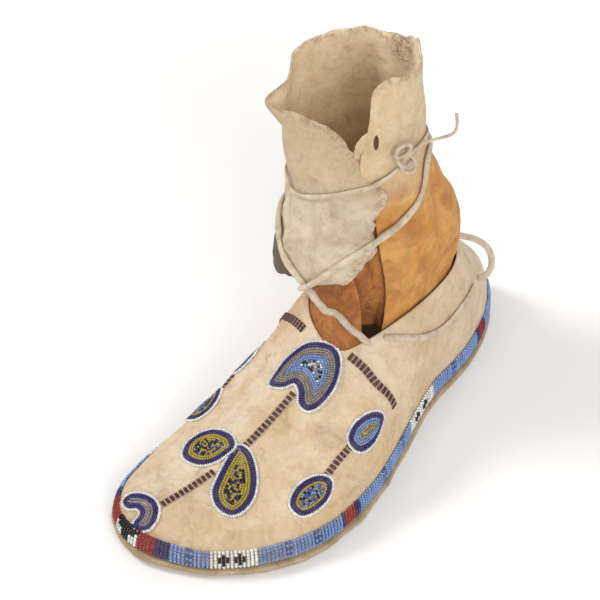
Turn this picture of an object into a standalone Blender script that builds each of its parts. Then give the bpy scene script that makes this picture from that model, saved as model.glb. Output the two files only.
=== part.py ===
"""A beaded high-top moccasin boot for the left foot, standing empty on its rawhide sole.

Toe towards -Y, heel towards +Y, outer side of the foot towards +X, up is +Z, metres.
The origin is on the underside of the sole, under the middle of the foot.
"""

import bmesh
import bpy
import numpy as np
from mathutils import Matrix, Vector
from mathutils.bvhtree import BVHTree

# Driving sizes.
FOOT_LENGTH = 0.250
BALL_WIDTH = 0.097
INSTEP_HEIGHT = 0.064
COLLAR_HEIGHT = 0.186
ANKLE_WIDTH = 0.063
ANKLE_DEPTH = 0.066

SOLE_THICK = 0.0035
SOLE_RIM = 0.0020
SOLE_EDGE_BEVEL = 0.0008
TOE_SPRING = 0.0030
TOE_SPRING_START = 0.37

UPPER_WALL = 0.0016
WRAP_WALL = 0.0014
TONGUE_WALL = 0.0014
FIT_GAP = 0.0003
FLAP_GAP = 0.00075
TONGUE_GAP = 0.0015
HEM_HANG = 0.011
COLLAR_FLARE = 0.006

BEAD_THICK = 0.0014
BEAD_GAP = 0.00105
STEM_GAP = 0.0008
BAND_GAP = 0.0005
BAND_WIDTH = 0.0088
BAND_LIFT = 0.0010
STEM_WIDTH = 0.0042
HEART_SIZE = 0.0352
LEAF_SIZE = 0.029
TOE_MOTIF_SIZE = 0.0216
OVAL_LENGTH = 0.0235

CORD_GAP = 0.0008
TIE_WIDTH = 0.0015
THONG_WIDTH = 0.0024
LOOP_WIDTH = 0.0026
KNOT_SIZE = 0.0058
KNOT_SHAPE = (0.8, 1.0, 1.3)

UPPER_COLUMNS = 60
UPPER_ROWS = (0.0, 0.025, 0.06, 0.11, 0.17, 0.25, 0.34, 0.44, 0.55, 0.66, 0.77, 0.89, 1.0)
WRAP_COLUMNS = 48
WRAP_ROWS = 12
PATH_STEPS = 160
TONGUE_COLUMNS = 12
MOTIF_STEP = 0.0038
STEM_STEP = 0.0030
CORD_STEP = 0.0062
GRID_ROUNDS = 12

# Shares: the sole's rings and a motif's rings from the edge in, and where in the sheet of the wrap its flap,
# hanging hem and flared collar begin and are full.
SOLE_RINGS = (1.0, 0.9, 0.62)
MOTIF_RINGS = (1.0, 0.66, 0.32)
MOTIF_CORE = 0.06
FLAP_START, FLAP_FULL = 0.66, 0.90
HEM_FULL, HEM_END = 0.0, 0.45
FLARE_START, FLARE_FULL = 0.75, 1.0
RIM_LIMIT = 1.12
TIE_LEVEL = 0.68
TONGUE_DEGREES = (-122.0, -66.0)

# How far off a search for the leather's surface starts: over it, and from the outside towards the ankle.
REACH_OVER = 0.006
REACH_AROUND = 0.2

THONG_COLOUR = (0.42, 0.34, 0.27)
STEM_COLOUR = (0.22, 0.09, 0.09)

# The last, one row for each section round the foot, from the toe tip by the outer side to the heel and back.
# along and across are shares of FOOT_LENGTH and BALL_WIDTH, and top is a share of INSTEP_HEIGHT.
# shoulder_rise and shoulder_run say how much of the height and of the way the rounded side takes.
LAST = (
    # along, across, open_along, open_across, top, shoulder_rise, shoulder_run, ramp
    (-0.502, -0.125, -0.026, 0.110, 0.985, 0.26, 0.14, 1.85),
    (-0.472, 0.155, -0.026, 0.150, 0.985, 0.26, 0.15, 1.80),
    (-0.396, 0.390, -0.020, 0.185, 0.985, 0.30, 0.19, 1.55),
    (-0.272, 0.557, 0.002, 0.210, 0.990, 0.35, 0.25, 1.40),
    (-0.152, 0.570, 0.040, 0.235, 1.000, 0.45, 0.34, 1.25),
    (0.000, 0.482, 0.100, 0.265, 1.020, 0.60, 0.50, 1.10),
    (0.160, 0.352, 0.200, 0.285, 1.045, 0.82, 0.80, 1.00),
    (0.320, 0.302, 0.290, 0.240, 1.040, 0.66, 0.60, 1.00),
    (0.432, 0.190, 0.346, 0.138, 1.010, 0.38, 0.30, 1.00),
    (0.500, 0.015, 0.372, 0.000, 1.000, 0.34, 0.26, 1.00),
    (0.450, -0.190, 0.354, -0.140, 1.010, 0.38, 0.30, 1.00),
    (0.336, -0.320, 0.304, -0.255, 1.040, 0.70, 0.64, 1.00),
    (0.160, -0.340, 0.190, -0.285, 1.040, 0.80, 0.80, 1.00),
    (-0.020, -0.360, 0.085, -0.240, 1.015, 0.55, 0.44, 1.15),
    (-0.192, -0.400, 0.025, -0.150, 1.000, 0.35, 0.25, 1.50),
    (-0.340, -0.418, -0.008, -0.040, 0.990, 0.26, 0.17, 1.80),
    (-0.440, -0.375, -0.024, 0.050, 0.985, 0.25, 0.14, 1.85),
)

# The beaded motifs' outlines, as shares of each motif's size, with the toe of the boot downwards.
HEART = (
    (-0.51, -0.27), (-0.53, 0.03), (-0.43, 0.27), (-0.27, 0.43), (0.03, 0.55), (0.20, 0.51),
    (0.36, 0.37), (0.46, 0.15),
    (0.46, -0.08), (0.41, -0.27), (0.31, -0.38), (0.16, -0.36), (0.05, -0.22), (-0.08, -0.16),
    (-0.20, -0.28), (-0.40, -0.33),
)
ROUND_LEAF = (
    (-0.38, -0.25), (-0.47, -0.03), (-0.40, 0.19), (-0.14, 0.34), (0.20, 0.34), (0.40, 0.22),
    (0.42, 0.08), (0.30, -0.20),
    (0.08, -0.37), (-0.22, -0.37),
)
LONG_LEAF = (
    (-0.28, 0.50), (-0.06, 0.50), (0.20, 0.30), (0.37, 0.03), (0.40, -0.26), (0.30, -0.47),
    (0.03, -0.50), (-0.21, -0.32),
    (-0.30, -0.04), (-0.32, 0.25),
)
CURL = (
    (-0.60, 0.04), (-0.47, 0.25), (-0.16, 0.36), (0.13, 0.35), (0.36, 0.20), (0.46, -0.07),
    (0.39, -0.31), (0.16, -0.42),
    (0.00, -0.32), (0.05, -0.08), (-0.08, 0.01), (-0.36, -0.06),
)
OVAL = (
    (0.02, 0.50), (-0.20, 0.37), (-0.31, 0.10), (-0.30, -0.20), (-0.16, -0.45), (0.05, -0.50),
    (0.25, -0.40), (0.34, -0.12),
    (0.33, 0.20), (0.20, 0.41),
)

# Where each motif lies on the upper, as shares of BALL_WIDTH and FOOT_LENGTH, and its size.
# A side of -1 mirrors it.
MOTIFS = (
    # name, across, along, outline, size, side, colour
    ("heart_motif", 0.092, -0.094, HEART, HEART_SIZE, 1, (0.30, 0.29, 0.42)),
    ("leaf_motif_medial", -0.108, -0.284, ROUND_LEAF, LEAF_SIZE, 1, (0.55, 0.50, 0.16)),
    ("leaf_motif_lateral", 0.142, -0.318, LONG_LEAF, LEAF_SIZE, 1, (0.55, 0.50, 0.16)),
    ("toe_motif", -0.150, -0.452, CURL, TOE_MOTIF_SIZE, 1, (0.30, 0.28, 0.36)),
    ("oval_lateral_upper", 0.461, -0.084, OVAL, OVAL_LENGTH, 1, (0.20, 0.30, 0.55)),
    ("oval_lateral_lower", 0.456, -0.246, OVAL, OVAL_LENGTH, 1, (0.20, 0.26, 0.50)),
    ("oval_medial_upper", -0.335, -0.060, OVAL, OVAL_LENGTH, -1, (0.20, 0.30, 0.55)),
    ("oval_medial_lower", -0.335, -0.196, OVAL, OVAL_LENGTH, -1, (0.20, 0.26, 0.50)),
)

# The beaded stems and strips: the places they pass through, as shares of BALL_WIDTH and FOOT_LENGTH.
STEMS = (
    ("stem_upper", ((0.088, -0.137), (0.073, -0.186), (0.054, -0.243))),
    ("stem_lower", ((0.006, -0.322), (-0.032, -0.372), (-0.062, -0.412))),
    ("oval_stem_lateral", ((0.462, -0.136), (0.464, -0.165), (0.468, -0.193))),
    ("oval_stem_medial", ((-0.338, -0.112), (-0.338, -0.128), (-0.338, -0.143))),
    ("throat_strip_lateral", ((0.236, -0.014), (0.300, -0.012), (0.375, -0.012), (0.440, -0.002))),
    ("throat_strip_medial", ((-0.085, -0.018), (-0.170, -0.004), (-0.250, 0.010), (-0.320, 0.026))),
)

# The ankle, one row for each level: height is a share of COLLAR_HEIGHT, across shares are of ANKLE_WIDTH and
# along shares of ANKLE_DEPTH. fit is 1 where the wrap follows the opening of the upper and 0 where it is the
# round ankle.
ANKLE = (
    # height, centre_across, centre_along, half_across, half_along, fit
    (0.28, -0.010, 0.83, 0.44, 0.76, 1.00),
    (0.33, -0.010, 0.83, 0.45, 0.76, 1.00),
    (0.375, -0.010, 0.83, 0.46, 0.75, 1.00),
    (0.43, -0.050, 0.81, 0.48, 0.75, 0.38),
    (0.54, -0.170, 0.755, 0.55, 0.655, 0.12),
    (0.68, -0.250, 0.70, 0.54, 0.54, 0.00),
    (0.82, -0.290, 0.66, 0.54, 0.495, 0.00),
    (0.94, -0.300, 0.65, 0.54, 0.495, 0.00),
    (1.10, -0.310, 0.65, 0.56, 0.510, 0.00),
)

# The two front edges of the wrap, by height: degrees from +X towards +Y, and how far out the flap lies.
WRAP_EDGES = (
    # height, outer_edge, flap_edge, flap_layer
    (0.30, -60.0, 310.0, 1.2),
    (0.38, -57.0, 310.0, 1.2),
    (0.46, -50.0, 310.0, 1.2),
    (0.56, -45.0, 313.0, 1.2),
    (0.66, -41.0, 321.0, 1.2),
    (0.735, -42.0, 331.0, 1.0),
    (0.785, -46.0, 313.5, 0.0),
    (0.84, -47.0, 324.0, -1.0),
    (0.92, -39.0, 326.0, -1.2),
    (1.10, -36.0, 326.0, -1.2),
)

# The rims of the wrap, by angle round the ankle. The hem is tucked in the upper, or hangs outside it where
# hem_out is over 0, and flare turns the collar out.
WRAP_RIMS = (
    # degrees, collar, hem, hem_out, flare
    (-60.0, 1.000, 0.30, 0.0, 0.0),
    (-35.0, 1.070, 0.30, 0.0, 0.0),
    (0.0, 1.050, 0.30, 0.0, 0.0),
    (40.0, 1.025, 0.31, 0.0, 0.0),
    (80.0, 0.975, 0.33, 0.0, 0.0),
    (120.0, 0.960, 0.33, 0.0, 0.0),
    (160.0, 0.945, 0.31, 0.0, 0.0),
    (185.0, 0.940, 0.33, 0.0, 0.0),
    (200.0, 0.950, 0.40, 0.2, -0.6),
    (216.0, 0.930, 0.40, 1.3, -0.6),
    (236.0, 0.893, 0.40, 1.6, 0.8),
    (252.0, 0.905, 0.41, 1.3, 0.1),
    (264.0, 0.910, 0.42, 0.9, 0.0),
    (278.0, 0.905, 0.43, 0.4, 0.0),
    (290.0, 0.895, 0.45, 0.1, 0.0),
    (303.0, 0.865, 0.50, 0.0, 0.0),
    (314.0, 0.820, 0.55, 0.0, 0.0),
    (335.0, 0.780, 0.66, 0.0, 0.0),
)

# The thongs' routes: degrees round the ankle from +X towards +Y, height share, and how many widths they
# stand off.
ANKLE_TIE = (
    (341, 0.792, 0), (326, 0.768, 0), (312, 0.756, 0), (298, 0.742, 0), (282, 0.722, 0), (264, 0.692, 0),
    (246, 0.668, 0), (225, 0.662, 0), (202, 0.668, 0), (178, 0.682, 0), (154, 0.700, 0), (130, 0.716, 0),
    (106, 0.732, 0), (82, 0.752, 0), (58, 0.775, 0), (34, 0.796, 0), (18, 0.808, 0), (4, 0.812, 0),
    (355, 0.812, 0),
)
TIE_KNOT = ((346, 0.815, -0.14),)
CROSS_THONG = (
    (278, 0.468, 1.5), (283, 0.487, 1.5), (289, 0.512, 1.1), (296, 0.540, 0.3), (308, 0.576, 0.2),
    (322, 0.602, 0.7), (338, 0.621, 0.1), (351, 0.642, 0), (3, 0.672, 0), (11, 0.702, 0), (17, 0.733, 0),
    (26, 0.750, 0), (38, 0.748, 0), (52, 0.732, 0), (68, 0.706, 0), (88, 0.676, 0), (110, 0.650, 0),
    (132, 0.628, 0),
    (154, 0.606, 0), (176, 0.588, 0), (198, 0.572, 0), (220, 0.555, 0), (240, 0.542, 0), (252, 0.532, 0),
    (264, 0.512, 0), (275, 0.488, 0), (284, 0.462, 0), (291, 0.432, 1.3), (298, 0.402, 0.6),
    (304, 0.374, 0.4),
    (310, 0.350, 0.3), (314, 0.336, 0),
)
DRAWSTRING_LATERAL = (
    (322, 0.334, 0), (332, 0.318, 0.1), (343, 0.290, 0.2), (355, 0.256, 0), (5, 0.236, 0),
    (14, 0.232, 0), (25, 0.238, 0),
    (36, 0.240, 0), (45, 0.238, 0),
)
DRAWSTRING_MEDIAL = (
    (232, 0.300, 0), (220, 0.288, 0), (206, 0.268, 0), (190, 0.246, 0), (174, 0.234, 0), (158, 0.234, 0),
    (144, 0.240, 0), (130, 0.242, 0),
)

# The free ends: where they leave the leather, then their way through the air, in metres.
TIE_END = (
    (0.01912, 0.0403, 0.1545), (0.0198, 0.0434, 0.1572), (0.0206, 0.0469, 0.1581), (0.0227, 0.0503, 0.1586),
    (0.0254, 0.0541, 0.1592), (0.0282, 0.0571, 0.1604), (0.0298, 0.0589, 0.1630), (0.0296, 0.0599, 0.1670),
    (0.0284, 0.0607, 0.1710),
)
HEEL_LOOP_ROOTS = ((49, 0.238, -0.31), (57, 0.368, -0.1))
HEEL_LOOP = (
    (0.0270, 0.0925, 0.0468), (0.0283, 0.0951, 0.0510), (0.0272, 0.0968, 0.0560), (0.0240, 0.0970, 0.0612),
    (0.0205, 0.0945, 0.0650),
)

# The tongue: how far under the throat's edge its rows are seated, and its rows above, by height and spread.
TONGUE_SEAT = (0.012, 0.006, 0.0)
TONGUE_RISE = ((0.44, 0.95), (0.52, 0.85), (0.60, 0.75), (0.66, 0.66))


def cubic(table, at, period=None):
    """Reads the columns of a table between its rows, on a smooth curve through all of them."""
    rows = np.array(table, float)
    at = np.asarray(at, float)
    if period:
        before = rows[-2:].copy()
        before[:, 0] -= period
        after = rows[:3].copy()
        after[:, 0] += period
        start = rows[0, 0]
        rows = np.vstack([before, rows, after])
        at = start + np.mod(at - start, period)
    knots = rows[:, 0]
    values = rows[:, 1:]
    slopes = np.gradient(values, knots, axis=0)
    i = np.clip(np.searchsorted(knots, at, side="right") - 1, 0, len(knots) - 2)
    span = (knots[i + 1] - knots[i])[..., None]
    q = np.clip((at[..., None] - knots[i][..., None]) / span, 0.0, 1.0)
    near = (1 + 2 * q) * (1 - q) ** 2 * values[i] + q * (1 - q) ** 2 * span * slopes[i]
    far = q * q * (3 - 2 * q) * values[i + 1] - q * q * (1 - q) * span * slopes[i + 1]
    return near + far


def ease(low, high, value):
    """Goes smoothly from 0 at low to 1 at high."""
    q = np.clip((value - low) / (high - low), 0.0, 1.0)
    return q * q * (3 - 2 * q)


def toe_lift(y):
    """How far the sole curls up in front of the ball."""
    share = (-y / FOOT_LENGTH - TOE_SPRING_START) / (0.5 - TOE_SPRING_START)
    return TOE_SPRING * np.clip(share, 0.0, 1.0) ** 2


def last_table():
    """The last's sections in metres, each with its place along the outline as a share."""
    last = np.array(LAST)
    base = np.stack([last[:, 1] * BALL_WIDTH, last[:, 0] * FOOT_LENGTH], axis=1)
    steps = np.linalg.norm(np.roll(base, -1, axis=0) - base, axis=1)
    shares = np.concatenate([[0.0], np.cumsum(steps)[:-1]]) / steps.sum()
    opening = np.stack([last[:, 3] * BALL_WIDTH, last[:, 2] * FOOT_LENGTH], axis=1)
    return np.column_stack([shares, base, opening, last[:, 4] * INSTEP_HEIGHT, last[:, 5:]])


def upper_paths(around):
    """For each place round the outline, the upper's outer line from the sole to the rim of its opening."""
    row = cubic(last_table(), np.asarray(around, float), period=1.0)
    base, opening, top = row[:, 0:2], row[:, 2:4], row[:, 4]
    rise, run, ramp = row[:, 5:6], row[:, 6:7], row[:, 7:8]
    f = np.linspace(0.0, 1.0, PATH_STEPS)[None, :] ** 2
    shoulder = np.sqrt(np.clip(1 - (1 - np.clip(f / run, 0, 1)) ** 2, 0, 1))
    height = rise * shoulder + (1 - rise) * f**ramp
    height = height / height[:, -1:]
    floor = SOLE_THICK + FIT_GAP + toe_lift(base[:, 1])
    plan = base[:, None, :] + (opening - base)[:, None, :] * f[..., None]
    z = floor[:, None] + (top - floor)[:, None] * height
    return np.concatenate([plan, z[..., None]], axis=2)


def along_paths(paths, distances):
    """Points at distances along each path. distances has a row for each path."""
    length = np.concatenate(
        [np.zeros((len(paths), 1)), np.cumsum(np.linalg.norm(np.diff(paths, axis=1), axis=2), axis=1)], axis=1
    )
    grid = np.zeros((*distances.shape, 3))
    for i, path in enumerate(paths):
        for k in range(3):
            grid[i, :, k] = np.interp(distances[i], length[i], path[:, k])
    return grid


def path_lengths(paths):
    """How long each path is."""
    return np.linalg.norm(np.diff(paths, axis=1), axis=2).sum(axis=1)


def grid_normals(grid, looped):
    """Unit normals of a grid of points whose columns run round the shape and whose rows run up."""
    if looped:
        around = np.roll(grid, -1, axis=0) - np.roll(grid, 1, axis=0)
    else:
        around = np.gradient(grid, axis=0)
    up = np.gradient(grid, axis=1)
    normal = np.cross(around, up)
    return normal / np.linalg.norm(normal, axis=2, keepdims=True)


def new_object(name, mesh, colour, roughness):
    """Adds an object for a finished mesh, with a material of its own."""
    thing = bpy.data.objects.new(name, mesh)
    BOOT.objects.link(thing)
    material = bpy.data.materials.new(name)
    material.use_nodes = True
    shader = material.node_tree.nodes["Principled BSDF"]
    shader.inputs["Base Color"].default_value = (*colour, 1.0)
    shader.inputs["Roughness"].default_value = roughness
    shader.inputs["Metallic"].default_value = 0.0
    mesh.materials.append(material)
    return thing


def sheet_mesh(name, grid, looped):
    """A mesh of the quads between a grid's points."""
    columns, rows = grid.shape[:2]
    shape = bmesh.new()
    points = [[shape.verts.new(p) for p in column] for column in grid]
    last = columns if looped else columns - 1
    for i in range(last):
        for j in range(rows - 1):
            k = (i + 1) % columns
            shape.faces.new((points[i][j], points[k][j], points[k][j + 1], points[i][j + 1]))
    mesh = bpy.data.meshes.new(name)
    shape.to_mesh(mesh)
    shape.free()
    mesh.shade_smooth()
    return mesh


def leather(name, grid, looped, wall, outwards, colour, roughness):
    """A sheet of leather as a closed wall on one side of a grid of points."""
    thing = new_object(name, sheet_mesh(name, grid, looped), colour, roughness)
    solid = thing.modifiers.new("wall", "SOLIDIFY")
    solid.thickness = wall
    solid.offset = 1.0 if outwards else -1.0
    solid.use_quality_normals = True
    return thing


def make_outsole():
    """The flat rawhide sole, a little wider than the upper, with its toe curled up."""
    around = np.arange(UPPER_COLUMNS) / UPPER_COLUMNS
    base = cubic(last_table(), around, period=1.0)[:, 0:2]
    side = np.roll(base, -1, axis=0) - np.roll(base, 1, axis=0)
    out = np.stack([side[:, 1], -side[:, 0]], axis=1) / np.linalg.norm(side, axis=1, keepdims=True)
    edge = base + out * SOLE_RIM
    shape = bmesh.new()
    rings = []
    for share in SOLE_RINGS:
        flat = edge * share
        top = SOLE_THICK + toe_lift(flat[:, 1])
        rings.append([shape.verts.new((x, y, z)) for (x, y), z in zip(flat, top)])
    for outer, inner in zip(rings, rings[1:]):
        for i in range(UPPER_COLUMNS):
            k = (i + 1) % UPPER_COLUMNS
            shape.faces.new((outer[i], outer[k], inner[k], inner[i]))
    shape.faces.new(rings[-1])
    mesh = bpy.data.meshes.new("outsole")
    shape.to_mesh(mesh)
    shape.free()
    mesh.shade_smooth()
    sole = new_object("outsole", mesh, (0.45, 0.34, 0.22), 0.8)
    solid = sole.modifiers.new("thickness", "SOLIDIFY")
    solid.thickness = SOLE_THICK
    solid.offset = -1.0
    edge_round = sole.modifiers.new("worn edge", "BEVEL")
    edge_round.width = SOLE_EDGE_BEVEL
    edge_round.segments = 1
    edge_round.limit_method = "ANGLE"
    edge_round.angle_limit = np.radians(50)
    return sole


def make_upper():
    """The vamp and quarters, one piece of hide, open at the top and where the sole closes it."""
    paths = upper_paths(np.arange(UPPER_COLUMNS) / UPPER_COLUMNS)
    grid = along_paths(paths, path_lengths(paths)[:, None] * np.array(UPPER_ROWS)[None, :])
    return leather("upper", grid, True, UPPER_WALL, False, (0.72, 0.58, 0.40), 0.85)


def rim_radius(degrees):
    """How far the inside of the upper's rim is from the middle of the ankle's lowest section, by angle."""
    paths = upper_paths(np.linspace(0.0, 1.0, 4 * UPPER_COLUMNS, endpoint=False))
    rim = paths[:, -1, :2] - ankle_middle(np.array([ANKLE[0][0]]))[0]
    angle = np.degrees(np.arctan2(rim[:, 1], rim[:, 0]))
    order = np.argsort(angle)
    radius = np.linalg.norm(rim, axis=1)
    return np.interp(np.asarray(degrees, float), angle[order], radius[order], period=360.0)


def rim_share(degrees):
    """Where round the outline the rim of the upper is seen at an angle from the ankle's middle."""
    shares = np.linspace(0.0, 1.0, 4 * UPPER_COLUMNS, endpoint=False)
    rim = upper_paths(shares)[:, -1, :2] - ankle_middle(np.array([ANKLE[0][0]]))[0]
    angle = np.unwrap(np.arctan2(rim[:, 1], rim[:, 0]))
    turned = np.radians(np.asarray(degrees, float))
    turned = angle[0] + np.mod(turned - angle[0], 2 * np.pi)
    return np.interp(turned, np.append(angle, angle[0] + 2 * np.pi), np.append(shares, 1.0))


def ankle_middle(height):
    """The middle of the ankle at a height, given as a share of COLLAR_HEIGHT."""
    row = cubic(ANKLE, height)
    return np.stack([row[..., 0] * ANKLE_WIDTH, row[..., 1] * ANKLE_DEPTH], axis=-1)


def wrap_points(degrees, height, out):
    """Points on the outer face of the ankle wrap, by angle and height share, moved out by a distance."""
    row = cubic(ANKLE, height)
    middle = np.stack([row[..., 0] * ANKLE_WIDTH, row[..., 1] * ANKLE_DEPTH], axis=-1)
    half_x = row[..., 2] * ANKLE_WIDTH
    half_y = row[..., 3] * ANKLE_DEPTH
    angle = np.radians(degrees)
    round_radius = half_x * half_y / np.hypot(half_y * np.cos(angle), half_x * np.sin(angle))
    inside_rim = np.minimum(rim_radius(degrees), half_y * RIM_LIMIT) - UPPER_WALL - 2 * FIT_GAP
    radius = round_radius + (inside_rim - round_radius) * row[..., 4] + out
    flat = middle + radius[..., None] * np.stack([np.cos(angle), np.sin(angle)], axis=-1)
    return np.concatenate([flat, (height * COLLAR_HEIGHT)[..., None]], axis=-1)


def make_wrap():
    """The ankle wrap: one sheet from the outer front edge round the heel to the front flap."""
    across = np.linspace(0.0, 1.0, WRAP_COLUMNS)
    up = np.linspace(0.0, 1.0, WRAP_ROWS)
    height = np.zeros((WRAP_COLUMNS, WRAP_ROWS))
    for _ in range(GRID_ROUNDS):
        edges = cubic(WRAP_EDGES, np.clip(height, WRAP_EDGES[0][0], WRAP_EDGES[-1][0]))
        degrees = edges[..., 0] + (edges[..., 1] - edges[..., 0]) * across[:, None]
        rims = cubic(WRAP_RIMS, np.clip(degrees, WRAP_RIMS[0][0], WRAP_RIMS[-1][0]))
        height = rims[..., 1] + (rims[..., 0] - rims[..., 1]) * up[None, :]
        layer = edges[..., 2] * ease(FLAP_START, FLAP_FULL, across)[:, None]
    hem = rims[..., 2] * (1 - ease(HEM_FULL, HEM_END, up))[None, :] * HEM_HANG
    flare = rims[..., 3] * ease(FLARE_START, FLARE_FULL, up)[None, :] * COLLAR_FLARE
    out = layer * (WRAP_WALL + FLAP_GAP) + hem + flare
    grid = wrap_points(degrees, height, out)
    return leather("ankle_wrap", grid, False, WRAP_WALL, False, (0.66, 0.47, 0.27), 0.9)


def make_tongue():
    """The tongue, seated under the throat and standing up inside the front of the wrap."""
    degrees = np.linspace(*TONGUE_DEGREES, TONGUE_COLUMNS)
    paths = upper_paths(rim_share(degrees))
    full = path_lengths(paths)[:, None]
    seat = along_paths(paths, full - np.array(TONGUE_SEAT)[None, :])
    into = grid_normals(seat, False) * (UPPER_WALL + 2 * FIT_GAP)
    rows = [seat[:, j] - into[:, j] for j in range(len(TONGUE_SEAT))]
    middle = degrees.mean()
    for height, spread in TONGUE_RISE:
        turned = middle + (degrees - middle) * spread
        rows.append(wrap_points(turned, np.full(TONGUE_COLUMNS, height), -WRAP_WALL - TONGUE_GAP))
    grid = np.stack(rows, axis=1)
    return leather("tongue", grid, False, TONGUE_WALL, False, (0.35, 0.15, 0.06), 0.9)


def make_band():
    """The bead band round the foot, just above the sole."""
    paths = upper_paths(np.arange(UPPER_COLUMNS) / UPPER_COLUMNS)
    levels = BAND_LIFT + BAND_WIDTH * np.linspace(0.0, 1.0, 3)
    grid = along_paths(paths, np.repeat(levels[None, :], UPPER_COLUMNS, axis=0))
    grid = grid + grid_normals(grid, True) * BAND_GAP
    return leather("bead_band", grid, True, BEAD_THICK, True, (0.20, 0.30, 0.55), 0.4)


def surface_of(things):
    """A search tree of the faces of finished objects."""
    depsgraph = bpy.context.evaluated_depsgraph_get()
    points, faces = [], []
    for thing in things:
        mesh = thing.evaluated_get(depsgraph).to_mesh()
        start = len(points)
        points += [v.co.copy() for v in mesh.vertices]
        faces += [[start + i for i in f.vertices] for f in mesh.polygons]
    return BVHTree.FromPolygons(points, faces)


def beads_on(name, grid, looped, colour):
    """Beadwork as a thin layer: a sheet of points over the hide, given the beads' thickness."""
    mesh = sheet_mesh(name, grid, looped)
    if looped:
        shape = bmesh.new()
        shape.from_mesh(mesh)
        inside = [e for e in shape.edges if e.is_boundary and inner_edge(e, grid.shape[1])]
        bmesh.ops.holes_fill(shape, edges=inside)
        shape.to_mesh(mesh)
        shape.free()
    thing = new_object(name, mesh, colour, 0.4)
    solid = thing.modifiers.new("beads", "SOLIDIFY")
    solid.thickness = BEAD_THICK
    solid.offset = 1.0
    return thing


def over_hide(hide, start, gap):
    """The place on the hide that is nearest to a point outside it, moved out by a gap."""
    place, normal, _, _ = hide.find_nearest(start)
    return place + normal * gap


def inner_edge(edge, rows):
    """Whether a boundary edge is on a patch's innermost ring."""
    return all(v.index % rows == rows - 1 for v in edge.verts)


def plane_over(hide, x, y):
    """A frame lying on the hide under a place, its second axis towards the heel."""
    place, normal, _, _ = hide.ray_cast(Vector((x, y, 1.0)), Vector((0, 0, -1)))
    up = (Vector((0, 1, 0)) - normal * normal.y).normalized()
    side = up.cross(normal)
    turned = Matrix((side, up, normal)).transposed().to_4x4()
    turned.translation = place
    return turned


def make_motif(hide, name, across, along, outline, size, side, colour):
    """One beaded motif: rings from its outline in to its middle, over the hide."""
    points = np.array(outline) * size * np.array([side, 1.0])
    if side < 0:
        points = points[::-1]
    steps = np.linalg.norm(np.roll(points, -1, axis=0) - points, axis=1)
    knots = np.concatenate([[0.0], np.cumsum(steps)[:-1]]) / steps.sum()
    count = max(18, round(steps.sum() / MOTIF_STEP))
    ring = cubic(np.column_stack([knots, points]), np.arange(count) / count, period=1.0)
    if np.sum(ring[:, 0] * np.roll(ring[:, 1], -1) - ring[:, 1] * np.roll(ring[:, 0], -1)) < 0:
        ring = ring[::-1]
    core = np.array([MOTIF_CORE * side, MOTIF_CORE]) * size
    frame = plane_over(hide, across * BALL_WIDTH, along * FOOT_LENGTH)
    grid = np.zeros((count, len(MOTIF_RINGS), 3))
    for j, share in enumerate(MOTIF_RINGS):
        for i, (u, v) in enumerate(core + (ring - core) * share):
            grid[i, j] = over_hide(hide, frame @ Vector((u, v, REACH_OVER)), BEAD_GAP)
    return beads_on(name, grid, True, colour)


def make_stem(hide, name, places):
    """One beaded stem or strip, a narrow ribbon through its places."""
    route = np.array(places) * np.array([BALL_WIDTH, FOOT_LENGTH])
    steps = np.concatenate([[0.0], np.cumsum(np.linalg.norm(np.diff(route, axis=0), axis=1))])
    count = max(5, round(steps[-1] / STEM_STEP) + 1)
    line = cubic(np.column_stack([steps, route]), np.linspace(0.0, steps[-1], count))
    hits = [hide.ray_cast(Vector((x, y, 1.0)), Vector((0, 0, -1))) for x, y in line]
    middle = np.array([hit[0] for hit in hits])
    normals = np.array([hit[1] for hit in hits])
    side = np.cross(np.gradient(middle, axis=0), normals)
    side = side / np.linalg.norm(side, axis=1, keepdims=True)
    grid = np.zeros((3, count, 3))
    for k, share in enumerate((-0.5, 0.0, 0.5)):
        for i in range(count):
            start = middle[i] + side[i] * STEM_WIDTH * share + normals[i] * REACH_OVER
            grid[k, i] = over_hide(hide, Vector(start), STEM_GAP)
    return beads_on(name, grid, False, STEM_COLOUR)


def on_leather(hide, places, width):
    """Points for the middle of a thong that lies on the boot: by degrees round the ankle and height share."""
    axis = ankle_middle(np.array([TIE_LEVEL]))[0]
    route = []
    for degrees, height, stand_off in places:
        angle = np.radians(degrees)
        towards = Vector((-np.cos(angle), -np.sin(angle), 0.0))
        start = Vector((*axis, height * COLLAR_HEIGHT)) - towards * REACH_AROUND
        place, normal, _, _ = hide.ray_cast(start, towards)
        route.append(place + normal * (width / 2 + CORD_GAP + stand_off * width))
    return route


def make_cord(name, route, width):
    """A thong along a smooth curve through its route."""
    points = np.array([tuple(p) for p in route])
    steps = np.concatenate([[0.0], np.cumsum(np.linalg.norm(np.diff(points, axis=0), axis=1))])
    count = max(8, round(steps[-1] / CORD_STEP) + 1)
    line = cubic(np.column_stack([steps, points]), np.linspace(0.0, steps[-1], count))
    curve = bpy.data.curves.new(name, "CURVE")
    curve.dimensions = "3D"
    spline = curve.splines.new("POLY")
    spline.points.add(len(line) - 1)
    for point, place in zip(spline.points, line):
        point.co = (*place, 1.0)
    curve.bevel_depth = width / 2
    curve.bevel_resolution = 2
    curve.use_fill_caps = True
    return new_object(name, curve, THONG_COLOUR, 0.85)


def make_knot(place):
    """The ankle tie's knot, a pulled lump of thong between its two ends."""
    shape = bmesh.new()
    bmesh.ops.create_uvsphere(shape, u_segments=12, v_segments=8, radius=0.5)
    bmesh.ops.scale(shape, verts=shape.verts, vec=Vector(KNOT_SHAPE) * KNOT_SIZE)
    mesh = bpy.data.meshes.new("tie_knot")
    shape.to_mesh(mesh)
    shape.free()
    mesh.shade_smooth()
    knot = new_object("tie_knot", mesh, THONG_COLOUR, 0.85)
    knot.location = place
    return knot


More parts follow.
